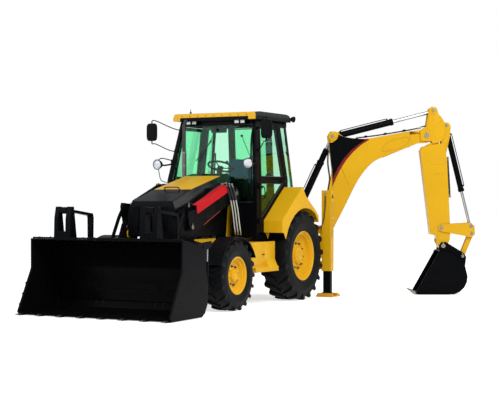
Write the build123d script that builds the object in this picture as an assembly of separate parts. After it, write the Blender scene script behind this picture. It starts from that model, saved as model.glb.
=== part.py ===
from build123d import *
import math
import os

# Backhoe loader in millimetres. X is forward, Y is left, Z is up, and Z = 0 is the ground.
# While the pieces are drawn, X = Y = 0 is on the ground under the rear axle. At the end
# all of them are moved by FRAME_SHIFT, so that the origin is the middle of the base.

# ---- driving dimensions ----
WHEELBASE = 2200.0
FRONT_TYRE_R, FRONT_TYRE_W, FRONT_RIM_R, FRONT_WHEEL_Y = 490.0, 330.0, 252.0, 947.0
REAR_TYRE_R, REAR_TYRE_W, REAR_RIM_R, REAR_WHEEL_Y = 680.0, 440.0, 367.0, 855.0
KINGPIN_Y = 640.0                     # steering axis
FIT = 0.05                            # radial clearance of a pin in its bore
SEAT = 0.3                            # gap of a seated piece

RAIL_IN, RAIL_OUT = 300.0, 360.0
RAIL_Z0 = REAR_TYRE_R + 120.0         # rails pass over the rear axle
RAIL_Z1 = RAIL_Z0 + 180.0
FRAME_REAR, FRAME_FRONT = -700.0, WHEELBASE + 250.0

ARM_IN, ARM_OUT = 440.0, 500.0        # loader arm plates, each side
ARM_PIVOT = (1220.0, 1640.0)
BUCKET_PIN = (3080.0, 230.0)
LIFT_BASE, LIFT_EYE = (1185.0, 735.0), (2470.0, 950.0)
LEVER_PIVOT = (2520.0, 1160.0)
LEVER_LINK = (2610.0, 1457.0)
TILT_BASE, TILT_EYE = (1580.0, 1738.0), (2430.0, 1440.0)
BUCKET_EAR = (3150.0, 522.0)
BUCKET_HALF = 1203.0
CLAM_PIN = (3330.0, 930.0)
CLAM_BASE, CLAM_EYE = (3170.0, 330.0), (3140.0, 960.0)
FORK_Y = 690.0
FORK_PIN = (3790.0, 1400.0)

CAB_HALF, CAB_TOP_HALF = 775.0, 651.0
CAB_FLOOR, BELT_Z, EAVE_Z, ROOF_Z = 1020.0, 1850.0, 2740.0, 2868.0
CAB_FRONT, CAB_FRONT_TOP = 1018.0, 819.0
CAB_REAR = -330.0
CAB_LEAN = math.degrees(math.atan((CAB_HALF - CAB_TOP_HALF) / (EAVE_Z - BELT_Z)))
DOOR_HINGE = (985.0, CAB_HALF + 25.0)

COLUMN_X0, COLUMN_X1 = -850.0, -735.0
COLUMN_Y0, COLUMN_Y1 = 1016.0, 1176.0
COLUMN_Z0, COLUMN_Z1 = 409.0, 1689.0
LEG_LIFT = 380.0
SHIFT_RAIL_LOW, SHIFT_RAIL_HIGH = (430.0, 560.0), (1000.0, 1130.0)

KINGPOST = (-1300.0, 439.0)
SWING_AT_REST = 117.0                 # direction of the hoe from +X, seen from above
HOE_FOOT = (231.0, 646.0)             # points of the hoe: outward from the kingpost, and up
BOOM_CYL_BASE, BOOM_NOSE = (-220.0, 1085.0), (460.0, 2571.0)
STICK_PIVOT, STICK_ROD_PIN = (2002.0, 2589.0), (2103.0, 2988.0)
CURL_BASE, CURL_ROD_PIN = (2321.0, 2753.0), (2720.0, 1108.0)
LEVER_PIN, LEVER_END = (2236.0, 1077.0), (2729.0, 983.0)
HOE_LINK_EAR, HOE_BUCKET_PIN = (2582.0, 618.0), (2267.0, 787.0)
STICK_DIR = (0.0954, -0.9954)         # way in which the outer stick slides
HOE_BUCKET_HALF = 300.0

FRAME_SHIFT = (-736.6, -879.7, 0.0)


# ---- small shape makers ----
def prism(points, axis, low, high):
    """A polygon in the plane across the axis, drawn from low to high along it."""
    if axis == "y":
        pts, way = [(x, low, z) for x, z in points], (0, high - low, 0)
    elif axis == "x":
        pts, way = [(low, y, z) for y, z in points], (high - low, 0, 0)
    else:
        pts, way = [(x, y, low) for x, y in points], (0, 0, high - low)
    return Solid.extrude(Face(Wire.make_polygon([Vector(*p) for p in pts])), Vector(*way))


def box(x0, x1, y0, y1, z0, z1):
    return Solid.make_box(x1 - x0, y1 - y0, z1 - z0, Plane(origin=(x0, y0, z0)))


def rod(p, q, r):
    p, q = Vector(*p), Vector(*q)
    return Solid.make_cylinder(r, (q - p).length, Plane(origin=p, z_dir=q - p))


def pin(point, r, y0, y1):
    """A round pin across the machine at a side-view point."""
    return rod((point[0], min(y0, y1), point[1]), (point[0], max(y0, y1), point[1]), r)


def flatten(shapes):
    out = []
    for s in shapes:
        out += flatten(s) if isinstance(s, (list, tuple)) else [s]
    return out


def join(*shapes):
    flat = flatten(shapes)
    return flat[0].fuse(*flat[1:]) if len(flat) > 1 else flat[0]


def sheet(points, thick, toward):
    """A flat panel through 3-D points, thickened towards a direction."""
    face = Face(Wire.make_polygon([Vector(*p) for p in points]))
    n = face.normal_at()
    if n.dot(Vector(*toward)) < 0:
        n = n * -1
    return Solid.extrude(face, n * thick)


def bar(p, q, wide, deep, up=(0, 1, 0)):
    """A square bar from p to q; wide is across, deep is along the up direction."""
    p, q = Vector(*p), Vector(*q)
    plane = Plane(origin=p, x_dir=(q - p).cross(Vector(*up)), z_dir=q - p)
    return Solid.make_box(wide, deep, (q - p).length, plane.offset(0)).moved(
        Location(plane.x_dir * (-wide / 2) + plane.y_dir * (-deep / 2)))


def both(make):
    """The same maker called for the left (+1) and right (-1) side."""
    return [make(1), make(-1)]


def yspan(side, y0, y1):
    return (min(side * y0, side * y1), max(side * y0, side * y1))


def direction(p, q):
    d = math.hypot(q[0] - p[0], q[1] - p[1])
    return ((q[0] - p[0]) / d, (q[1] - p[1]) / d), d


def along(p, q, s):
    (ux, uz), d = direction(p, q)
    return (p[0] + ux * s, p[1] + uz * s)


def p3(point, y):
    return (point[0], y, point[1])


def barrel(base, eye, y, r, length, rod_r, eye_r, eye_half, bore_r):
    """Cylinder barrel in a side-view plane at y, with its base eye."""
    tube = rod(p3(along(base, eye, eye_r * 0.7), y), p3(along(base, eye, length), y), r)
    hollow = rod(p3(along(base, eye, eye_r + 40), y), p3(along(base, eye, length - 45), y), r - 9)
    gland = rod(p3(along(base, eye, length - 50), y), p3(along(base, eye, length + 5), y),
                rod_r + FIT)
    eye_s = pin(base, eye_r, y - eye_half, y + eye_half)
    out = join(tube, eye_s).cut(hollow, gland)
    if bore_r:
        out = out.cut(pin(base, bore_r + FIT, y - eye_half - 9, y + eye_half + 9))
    return out


def piston(base, eye, y, r, start, eye_r, eye_half, rod_r, bore_r, ring_r):
    """Rod with its eye at the far pin; start is where its piston is in the barrel."""
    shaft = rod(p3(along(base, eye, start), y), p3(along(eye, base, eye_r * 0.7), y), rod_r)
    ring = rod(p3(along(base, eye, start), y), p3(along(base, eye, start + 40), y), ring_r - FIT)
    eye_s = pin(eye, eye_r, y - eye_half, y + eye_half)
    hole = pin(eye, bore_r, y - eye_half - 9, y + eye_half + 9)
    return join(shaft, ring, eye_s).cut(hole)


nodes = {}


# ---- wheels ----
# name, tyre radius, width, rim radius, lugs per side, lug height, lug width
WHEEL_KINDS = {
    "front": (FRONT_TYRE_R, FRONT_TYRE_W, FRONT_RIM_R, 16, 26.0, 34.0),
    "rear": (REAR_TYRE_R, REAR_TYRE_W, REAR_RIM_R, 18, 34.0, 44.0),
}


def tyre(kind):
    """Tyre about the Y axis at the origin, outer side towards +Y."""
    r, w, rim, lugs, tall, lug_w = WHEEL_KINDS[kind]
    h, base = w / 2, r - tall
    prof = [(rim + SEAT, -h * 0.86), (rim + SEAT, h * 0.86), (rim + (base - rim) * 0.35, h),
            (base - (base - rim) * 0.22, h * 0.97), (base - 6, h * 0.80), (base, h * 0.40),
            (base, -h * 0.40), (base - 6, -h * 0.80), (base - (base - rim) * 0.22, -h * 0.97),
            (rim + (base - rim) * 0.35, -h)]
    face = Face(Wire.make_polygon([Vector(a, b, 0) for a, b in prof]))
    carcass = Solid.revolve(face, 360, Axis.Y)
    cutters = []
    for side in (1, -1):
        for i in range(lugs):
            a = 360.0 * (i + (0 if side > 0 else 0.5)) / lugs
            lug = prism([(-lug_w / 2, h * 0.02 * side), (lug_w / 2, -h * 0.02 * side),
                         (lug_w / 2 - h * 0.55, h * 0.96 * side),
                         (-lug_w / 2 - h * 0.55, h * 0.96 * side)], "z", base - 26, r - 2.5)
            cutters.append(lug.rotate(Axis.Y, a))
    return join(carcass, cutters).intersect(
        rod((0, -w, 0), (0, w, 0), r)).solids()[0]


def hub_face(kind):
    """How far the rim's inner hub face lies outboard of the wheel's middle."""
    return 0.36 * 0.43 * WHEEL_KINDS[kind][1] - 22


def rim(kind):
    r, w, rr, lugs, tall, lug_w = WHEEL_KINDS[kind]
    h = w / 2 * 0.86
    dish = hub_face(kind) + 22
    prof = [(0, dish - 22), (rr * 0.42, dish - 22), (rr * 0.60, dish - 40), (rr * 0.78, dish - 22),
            (rr * 0.82, -h + 30),
            (rr, -h), (rr, -h + 16), (rr - 26, -h + 40), (rr - 26, h - 40), (rr, h - 16), (rr, h),
            (rr - 20, h + 5), (rr - 52, h - 40), (rr * 0.78, dish + 8), (rr * 0.60, dish - 8),
            (rr * 0.36, dish + 20), (rr * 0.34, dish + 62), (0, dish + 66)]
    face = Face(Wire.make_polygon([Vector(a, b, 0) for a, b in prof]))
    return Solid.revolve(face, 360, Axis.Y)


WHEELS = [
    # name, kind, x, side
    ("front_left", "front", WHEELBASE, 1),
    ("front_right", "front", WHEELBASE, -1),
    ("rear_left", "rear", 0.0, 1),
    ("rear_right", "rear", 0.0, -1),
]
made = {(k, w): f(k) for k in WHEEL_KINDS for w, f in (("tyre", tyre), ("rim", rim))}
for name, kind, x, side in WHEELS:
    r = WHEEL_KINDS[kind][0]
    y = (FRONT_WHEEL_Y if kind == "front" else REAR_WHEEL_Y) * side
    for what in ("tyre", "rim"):
        s = made[(kind, what)]
        if side < 0:
            s = s.mirror(Plane.XZ)
        nodes[what + "_" + name] = s.moved(Location((x, y, r)))

# ---- main frame with the loader towers ----
HOOD_HINGE = (2640.0, 1000.0)
parts = [box(FRAME_REAR, -640, -RAIL_IN, RAIL_IN, RAIL_Z0, RAIL_Z1),
         box(1100, 1280, -RAIL_IN, RAIL_IN, 830, RAIL_Z1),
         box(2080, 2320, -RAIL_OUT, RAIL_OUT, 700, RAIL_Z0),
         box(WHEELBASE - 120, WHEELBASE + 120, -110, 110, FRONT_TYRE_R + 120, 700),
         box(FRAME_FRONT, FRAME_FRONT + 45, -425, 425, 770, 990)]
TOWER_GAP = 20.0                      # arm face to tower plate
TOWER = [(1110, 650), (1310, 650), (1330, RAIL_Z1), (1322, 1640), (1290, 1710), (1220, 1744),
         (1150, 1710), (1118, 1640), (1090, RAIL_Z1)]
for side in (1, -1):
    parts.append(box(FRAME_REAR, FRAME_FRONT, *yspan(side, RAIL_IN, RAIL_OUT), RAIL_Z0, RAIL_Z1))
    parts.append(box(1100, 1150, *yspan(side, RAIL_OUT, ARM_OUT + TOWER_GAP + 18),
                     RAIL_Z0, RAIL_Z1))
    for y0, y1 in ((ARM_IN - TOWER_GAP - 18, ARM_IN - TOWER_GAP),
                   (ARM_OUT + TOWER_GAP, ARM_OUT + TOWER_GAP + 18)):
        plate = prism(TOWER, "y", *yspan(side, y0, y1))
        plate = plate.cut(pin(ARM_PIVOT, 40 + FIT, side * (y0 - 5), side * (y1 + 5)))
        parts.append(plate)
    parts.append(box(FRAME_FRONT + 40, HOOD_HINGE[0] + 16, *yspan(side, 150, 180), 970, 1016))
    parts.append(pin(HOOD_HINGE, 12, side * 150, side * 214))
nodes["main_frame"] = join(parts)

# ---- axles ----
knuckle_gap = 6.0
rear_axle = join(
    rod((0, -REAR_WHEEL_Y - hub_face("rear") + SEAT, REAR_TYRE_R),
        (0, REAR_WHEEL_Y + hub_face("rear") - SEAT, REAR_TYRE_R), 78),
    rod((0, -230, REAR_TYRE_R), (0, 230, REAR_TYRE_R), 118),
    both(lambda s: box(-110, 110, *yspan(s, RAIL_IN, RAIL_OUT), REAR_TYRE_R + 40, RAIL_Z0)))
beam = prism([(y, FRONT_TYRE_R + z) for y, z in (
    (70 - KINGPIN_Y, -70), (KINGPIN_Y - 70, -70), (KINGPIN_Y - 70, 70), (260, 100), (120, 120),
    (-120, 120), (-260, 100), (70 - KINGPIN_Y, 70))],
             "x", WHEELBASE - 75, WHEELBASE + 75)
YOKE_Z = ((FRONT_TYRE_R - 145, FRONT_TYRE_R - 95), (FRONT_TYRE_R + 95, FRONT_TYRE_R + 145))
yokes = both(lambda s: join(
    [rod((WHEELBASE, s * KINGPIN_Y, z0), (WHEELBASE, s * KINGPIN_Y, z1), 62).cut(
        rod((WHEELBASE, s * KINGPIN_Y, z0 - 5), (WHEELBASE, s * KINGPIN_Y, z1 + 5), 26 + FIT))
     for z0, z1 in YOKE_Z]
    + [box(WHEELBASE - 60, WHEELBASE + 60, *yspan(s, KINGPIN_Y - 130, KINGPIN_Y - 70),
           YOKE_Z[0][0], YOKE_Z[1][1])]
    + [box(WHEELBASE - 45, WHEELBASE + 45, *yspan(s, KINGPIN_Y - 100, KINGPIN_Y - 42), z0, z1)
       for z0, z1 in YOKE_Z]))
nodes["axles"] = [rear_axle, join(beam, yokes)]

# ---- steering knuckles with their fenders ----
FENDER_R0, FENDER_R1 = FRONT_TYRE_R + 34.0, FRONT_TYRE_R + 50.0


def knuckle(side):
    y = side * KINGPIN_Y
    hub = [rod((WHEELBASE, y, YOKE_Z[0][1] + 6), (WHEELBASE, y, YOKE_Z[1][0] - 6), 58),
           rod((WHEELBASE, y, YOKE_Z[0][0] - 5), (WHEELBASE, y, YOKE_Z[1][1] + 5), 26),
           rod((WHEELBASE, y, FRONT_TYRE_R),
               (WHEELBASE, side * (FRONT_WHEEL_Y - FRONT_TYRE_W / 2 - 12), FRONT_TYRE_R), 70),
           rod((WHEELBASE, y, FRONT_TYRE_R),
               (WHEELBASE, side * (FRONT_WHEEL_Y + hub_face("front") - SEAT), FRONT_TYRE_R), 60)]
    arc = [math.radians(a) for a in range(18, 155, 8)]
    mid = FRONT_TYRE_R
    pts = ([(WHEELBASE + FENDER_R1 * math.cos(a), mid + FENDER_R1 * math.sin(a)) for a in arc]
           + [(WHEELBASE + FENDER_R0 * math.cos(a), mid + FENDER_R0 * math.sin(a))
              for a in reversed(arc)])
    fender = prism(pts, "y", *yspan(side, 850, 1125))
    strut = join(box(WHEELBASE - 130, WHEELBASE - 90, *yspan(side, 690, 730), 470, 1010),
                 box(WHEELBASE - 130, WHEELBASE, *yspan(side, 690, 730), 440, 500),
                 box(WHEELBASE - 130, WHEELBASE - 90, *yspan(side, 690, 870), 985, 1030))
    return join(hub + [strut]), fender


for name, side in (("left", 1), ("right", -1)):
    k, f = knuckle(side)
    nodes["knuckle_" + name] = join(k, f)

# ---- engine and cooling pack under the hood ----
nodes["engine"] = join(
    box(1420, 2100, -210, 210, 850, 1330), box(1480, 1980, -260, 260, 1000, 1250),
    box(2100, 2160, -120, 120, 1000, 1240), rod((2160, 0, 1150), (2230, 0, 1150), 200),
    box(2280, 2360, -320, 320, RAIL_Z1, 1440), box(2230, 2290, -30, 30, 1120, 1180),
    both(lambda s: box(1500, 1620, *yspan(s, 180, RAIL_OUT), RAIL_Z1, 1040)))

# ---- hood ----
HOOD = [(1090, 1020), (2500, 1020), (2690, 1040), (2700, 1440), (2684, 1520), (2154, 1690),
        (1283, 1895), (1060, 1935)]
HOOD_HALF_TOP, HOOD_HALF = 300.0, 395.0


def hood_block(off):
    """Hood body, sloping in at its shoulders, smaller by off all round."""
    side = prism([(1060 - 40 * (off > 0), 1020 - 60 * (off > 0)),
                  (2500 - off, 1020 - 60 * (off > 0)), (2690 - off, 1030 - 60 * (off > 0)),
                  (2700 - off, 1440), (2684 - off, 1520 - off), (2154, 1690 - off),
                  (1283, 1895 - off), (1060 - 40 * (off > 0), 1935 - off)],
                 "y", -HOOD_HALF + off, HOOD_HALF - off)
    for s in (1, -1):
        top = [(1000, 1720), (2154, 1500), (2760, 1370)]
        wedge = prism([(s * (HOOD_HALF_TOP - off * 0.6), 2100), (s * (HOOD_HALF_TOP - off * 0.6), 1945),
                       (s * 470, 1700), (s * 470, 2100)], "x", 1000, 1284)
        side = side.cut(wedge)
        lo = Vector(2760, s * (HOOD_HALF + 5), 1330 - off)
        pts = [(1000, s * (HOOD_HALF - off), 1760), (2760, s * (HOOD_HALF - off), 1360),
               (2760, s * (HOOD_HALF_TOP - 60 - off), 1580), (1000, s * (HOOD_HALF_TOP - off * 0.6), 1980)]
        a, b, c, d = [Vector(*p) for p in pts]
        n = (b - a).cross(d - a).normalized()
        if n.Z < 0:
            n = n * -1
        big = Solid.make_box(3000, 1200, 700, Plane(origin=a - (b - a).normalized() * 500
                                                    - n.cross(b - a).normalized() * 600,
                                                    x_dir=(b - a), z_dir=n))
        side = side.cut(big)
    return side


hood_s = hood_block(0.0).cut(hood_block(14.0))
hood_s = hood_s.cut(box(2640, 2760, -250, 250, 1090, 1440))
hood_s = join(hood_s, both(lambda s: join(
    pin(HOOD_HINGE, 24, s * 184, s * 208), box(2634, 2688, *yspan(s, 184, 208), 1000, 1070)).cut(
        pin(HOOD_HINGE, 12 + FIT, s * 140, s * 220))))
nodes["hood"] = [hood_s, join(box(2664, 2682, -250 + SEAT, 250 - SEAT, 1090 + SEAT, 1440 - SEAT),
                         [box(2682, 2690, -240, 240, 1112 + 40 * i, 1126 + 40 * i)
                          for i in range(8)])]

# ---- exhaust ----
STACK = (1052.0, -458.0)
nodes["exhaust"] = join(rod((*STACK, 1010), (*STACK, 2690), 27),
                        rod((*STACK, 1800), (*STACK, 2300), 30),
                        rod((*STACK, 2680), (STACK[0] - 60, STACK[1], 2744), 27),
                        box(STACK[0] - 6, 1110.6, STACK[1] - 8, -404, 1480, 1520))

# ---- cab ----
LOW = CAB_FLOOR


def lean(shape, side):
    axis = Axis((0, side * CAB_HALF, BELT_Z), (1, 0, 0))
    return shape.rotate(axis, side * CAB_LEAN)


POST_T = 60.0
A_FOOT, A_TOP = CAB_FRONT, CAB_FRONT_TOP
B_X0, B_X1 = -10.0, 100.0
EAVE_UP = BELT_Z + (EAVE_Z + 6 - SEAT - BELT_Z) / math.cos(math.radians(CAB_LEAN))


ARCH_R, ARCH_IN = REAR_TYRE_R + 65.0, 590.0
ARCH = [(ARCH_R * math.cos(math.radians(a)), REAR_TYRE_R + ARCH_R * math.sin(math.radians(a)))
        for a in (27.2, 36, 46, 56, 66, 76, 86, 96, 106, 116.3)]
ARCH_UP = [((ARCH_R + 14) * math.cos(math.radians(a)),
            REAR_TYRE_R + (ARCH_R + 14) * math.sin(math.radians(a)))
           for a in (27.2, 36, 46, 56, 66, 76, 86, 96, 106, 115.8)]
SIDE_PANEL = ARCH + [(CAB_REAR, 1600), (100, 1600), (100, 1755), (178, 1706), (806, 1241),
                     (806, LOW), (690, LOW)]
ARCH_RING = ARCH + list(reversed(ARCH_UP))
ARCH_WALL = ARCH_UP + [(CAB_REAR, RAIL_Z1 + SEAT), (700, RAIL_Z1 + SEAT)]


HINGE_Z = (1180.0, 1700.0)


def cab_side(side):
    """Posts, sill and eave rail of one side, upper half leaning in."""
    y0, y1 = yspan(side, CAB_HALF - POST_T, CAB_HALF)
    low = [prism([(A_FOOT - 90, LOW), (A_FOOT, LOW), (A_FOOT, BELT_Z), (A_FOOT - 90, BELT_Z)],
                 "y", y0, y1),
           prism([(B_X0, 1590), (B_X1, 1590), (B_X1, BELT_Z), (B_X0, BELT_Z)], "y", y0, y1),
           prism(SIDE_PANEL, "y", y0, y1),
           prism(ARCH_RING, "y", *yspan(side, ARCH_IN, CAB_HALF - POST_T)),
           prism(ARCH_WALL, "y", *yspan(side, ARCH_IN - 14, ARCH_IN)),
           box(690, A_FOOT, y0, y1, LOW - 90, LOW)]
    high = [prism([(A_FOOT - 90, BELT_Z - 12), (A_FOOT, BELT_Z - 12), (A_TOP, EAVE_UP),
                   (A_TOP - 90, EAVE_UP)], "y", y0, y1),
            prism([(B_X0, BELT_Z - 12), (B_X1, BELT_Z - 12), (B_X1 + 40, EAVE_UP),
                   (B_X0 + 40, EAVE_UP)], "y", y0, y1),
            prism([(-200, EAVE_Z - 60), (A_TOP, EAVE_Z - 60), (A_TOP, EAVE_UP),
                   (-200, EAVE_UP)], "y", y0, y1)]
    return low + [lean(h, side) for h in high]


FLOOR_Z = RAIL_Z1 + SEAT
shell = [box(CAB_REAR, A_FOOT, -ARCH_IN, ARCH_IN, FLOOR_Z, FLOOR_Z + 30),
         box(700, A_FOOT, -CAB_HALF, CAB_HALF, FLOOR_Z, FLOOR_Z + 30),
         box(A_FOOT - 50, A_FOOT, -CAB_HALF, CAB_HALF, FLOOR_Z, 1500),
         box(CAB_REAR, CAB_REAR + 50, -ARCH_IN, ARCH_IN, FLOOR_Z, 1600),
         box(CAB_REAR, CAB_REAR + 50, -CAB_HALF, CAB_HALF, 1360, 1600),
         bar((A_TOP - 25, 11 - CAB_TOP_HALF, EAVE_Z - 28), (A_TOP - 25, CAB_TOP_HALF - 11, EAVE_Z - 28),
             50, 64, (0, 0, 1)),
         bar((-205, 11 - CAB_TOP_HALF, EAVE_Z - 28), (-205, CAB_TOP_HALF - 11, EAVE_Z - 28), 60, 64,
             (0, 0, 1))]
for side in (1, -1):
    shell += cab_side(side)
    shell.append(bar((CAB_REAR + 30, side * 340, 1590), (-205, side * 330, EAVE_Z - 10),
                     60, 90, (0, 1, 0)))
    shell.append(bar((-256, side * (CAB_HALF - 32), 1590), (-200, side * (CAB_TOP_HALF - 30),
                                                           EAVE_Z - 28), 30, 30))
    for z in HINGE_Z:
        lug = box(950, 1012, *yspan(side, CAB_HALF - 10, DOOR_HINGE[1] + 22), z + 64, z + 88)
        shell.append(lug.cut(rod((DOOR_HINGE[0], side * DOOR_HINGE[1], z),
                                 (DOOR_HINGE[0], side * DOOR_HINGE[1], z + 120), 14 + FIT)))
nodes["cab_shell"] = join(shell)

roof = join(
    prism([(-235, EAVE_Z + 6), (690, EAVE_Z + 6), (700, EAVE_Z + 26), (905, EAVE_Z + 30),
           (915, EAVE_Z + 2), (948, EAVE_Z + 6), (938, ROOF_Z - 30), (915, ROOF_Z - 12), (760, ROOF_Z),
           (-120, ROOF_Z), (-205, ROOF_Z - 12), (-235, ROOF_Z - 45)], "y", -716, 716))
roof = roof.cut(box(-180, 640, -620, 620, EAVE_Z, 2830))
for side in (1, -1):
    roof = roof.cut(prism([(side * 716, EAVE_Z + 60), (side * 690, ROOF_Z + 5), (side * 760, ROOF_Z + 5)],
                          "x", -300, 1000))
    roof = join(roof, box(690, 948, *yspan(side, 640, 716), EAVE_Z + 6, EAVE_Z + 60))
nodes["cab_roof"] = roof

GLASS = 6.0
CORNER_X, CORNER_IN = (-238.0,), 60.0
POST_IN = CAB_HALF - POST_T / math.cos(math.radians(CAB_LEAN)) - SEAT
wind = [(A_FOOT - 20, POST_IN, 1500 + SEAT), (A_FOOT - 20, -POST_IN, 1500 + SEAT),
        (A_FOOT - 20, -POST_IN, BELT_Z), (A_FOOT - 20, POST_IN, BELT_Z)]
windshield_low = sheet(wind, GLASS, (-1, 0, 0))
slope = (A_FOOT - A_TOP) / (EAVE_Z - BELT_Z)
z_top = EAVE_Z - 61
pinch = (CAB_HALF - CAB_TOP_HALF) / (EAVE_Z - BELT_Z)
y_t = POST_IN - pinch * (z_top - BELT_Z)
windshield = sheet([(A_FOOT - 20, POST_IN, BELT_Z + 0.3),
                    (A_FOOT - 20, -POST_IN, BELT_Z + 0.3),
                    (A_FOOT - 20 - slope * (z_top - BELT_Z), -y_t, z_top),
                    (A_FOOT - 20 - slope * (z_top - BELT_Z), y_t, z_top)], GLASS, (-1, 0, 0))
rear_glass = sheet([(CAB_REAR + 20, 289, 1600.7), (CAB_REAR + 20, -289, 1600.7),
                    (-212, -281, EAVE_Z - 66), (-212, 281, EAVE_Z - 66)], GLASS, (1, 0, 0))


def quarter(side):
    """Bent glass of a rear corner, in two flat panes."""
    low, top = 1600 + SEAT, EAVE_Z - 73
    ya = CAB_HALF - 24

    def at_side(x, z):
        y = ya - max(0.0, z - BELT_Z) * pinch
        return (x, side * y, z)
    panes = []
    for z0, z1 in ((low, BELT_Z - 0.4), (BELT_Z + 0.4, top)):
        f = (z0 - low) / (top - low), (z1 - low) / (top - low)
        x0 = [B_X0 - SEAT + (36 * (z - BELT_Z) / (EAVE_Z - BELT_Z) if z > BELT_Z else 0) for z in (z0, z1)]
        panes.append(sheet([at_side(x0[0], z0), at_side(CORNER_X[0] + f[0] * CORNER_IN, z0),
                            at_side(CORNER_X[0] + f[1] * CORNER_IN, z1), at_side(x0[1], z1)],
                           GLASS, (0, -side, 0)))
    return panes


nodes["cab_glass"] = [windshield_low, windshield, rear_glass] + quarter(1) + quarter(-1)


# ---- doors ----
DOOR_LOW = [(905, LOW + 25), (905, BELT_Z), (106, BELT_Z), (106, 1765), (180, 1714), (812, 1246),
            (812, LOW + 25)]
DOOR_HIGH = [(905, BELT_Z - 14), (727, EAVE_Z - 66), (146, EAVE_Z - 66), (106, BELT_Z - 14)]


def door(side):
    y0, y1 = yspan(side, CAB_HALF - 36, CAB_HALF - 4)
    frame_low = prism(DOOR_LOW, "y", y0, y1)
    frame_high = lean(prism(DOOR_HIGH, "y", y0, y1), side)
    win_low = prism([(860, 1267), (860, 1790), (154, 1790)], "y", y0 - 9, y1 + 9)
    win_high = lean(prism([(850, BELT_Z + 40), (705, EAVE_Z - 120), (196, EAVE_Z - 120),
                           (160, BELT_Z + 40)], "y", y0 - 9, y1 + 9), side)
    hinge = [rod((DOOR_HINGE[0], side * DOOR_HINGE[1], z),
                 (DOOR_HINGE[0], side * DOOR_HINGE[1], z + 92), 14) for z in HINGE_Z]
    tabs = [join(box(870, 905, *yspan(side, CAB_HALF - 6, CAB_HALF + 12), z + 10, z + 50),
                 box(870, DOOR_HINGE[0], *yspan(side, CAB_HALF + 8, CAB_HALF + 22), z + 10, z + 50))
            for z in HINGE_Z]
    frame = join([join(frame_low, frame_high).cut(win_low, win_high)] + hinge + tabs)
    m0, m1 = yspan(side, CAB_HALF - 23, CAB_HALF - 17)
    panes = [prism([(860 - SEAT, 1268), (860 - SEAT, 1790 - SEAT), (155.5, 1790 - SEAT)],
                   "y", m0, m1),
             lean(prism([(850 - SEAT, BELT_Z + 40 + SEAT), (705 - SEAT, EAVE_Z - 120 - SEAT),
                         (196 + SEAT, EAVE_Z - 120 - SEAT), (160 + SEAT, BELT_Z + 40 + SEAT)],
                        "y", m0, m1), side)]
    return frame, panes


for name, side in (("left", 1), ("right", -1)):
    f, g = door(side)
    nodes["door_" + name] = f
    nodes["door_glass_" + name] = g


# ---- rear fenders ----
def fender(side):
    a = [math.radians(v) for v in range(118, 21, -12)]
    r = REAR_TYRE_R + 55
    arch = [(r * math.cos(v), REAR_TYRE_R + r * math.sin(v)) for v in a]
    outer = [(-475, 1187), (-475, 1287), (-379, 1366), (-8, 1600), (105, 1738), (180, 1695),
             (800, 1236), (800, 1052), (740, 1046)]
    prof = outer + list(reversed(arch))
    body = prism(prof, "y", *yspan(side, CAB_HALF + SEAT, 1090))
    t = 14
    inner = [(-461, 1150), (-461, 1280), (-372, 1352), (0, 1584), (106, 1721), (174, 1682),
             (786, 1229), (786, 1040), (744, 1030), (600, 800), (0, 700), (-300, 800)]
    hollow = prism(inner, "y", *yspan(side, CAB_HALF + t, 1090 - t))
    shell_s = body.cut(hollow)
    return shell_s


nodes["rear_fenders"] = both(fender)

# ---- steps and tanks between the wheels ----
nodes["side_boxes"] = both(lambda s: join(
    box(730, 1470, *yspan(s, 545, 930), 560, 925),
    prism([(720, 487), (1440, 487), (1470, 560), (730, 560)], "y", *yspan(s, 545, 990)),
    prism([(s * 925, 560), (s * 990, 560), (s * 925, 700)], "x", 760, 1060),
    box(760, 1080, *yspan(s, RAIL_OUT, 545), 820, 900)))

# ---- seat and controls ----
nodes["seat"] = join(box(120, 600, -240, 240, 1420, 1532),
                     prism([(40, 1490), (170, 1490), (110, 2170), (0, 2170)], "y", -230, 230))
nodes["cab_controls"] = join(
    box(160, 520, -170, 170, FLOOR_Z + 30 + SEAT, 1420 - SEAT),
    prism([(760, FLOOR_Z + 30 + SEAT), (965, FLOOR_Z + 30 + SEAT), (965, 1560), (840, 1640),
           (800, 1600)], "y", -140, 140),
    rod((840, 0, 1590), (716, 0, 1946), 32),
    rod((720, 0, 1930), (711, 0, 1952), 190))

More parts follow.
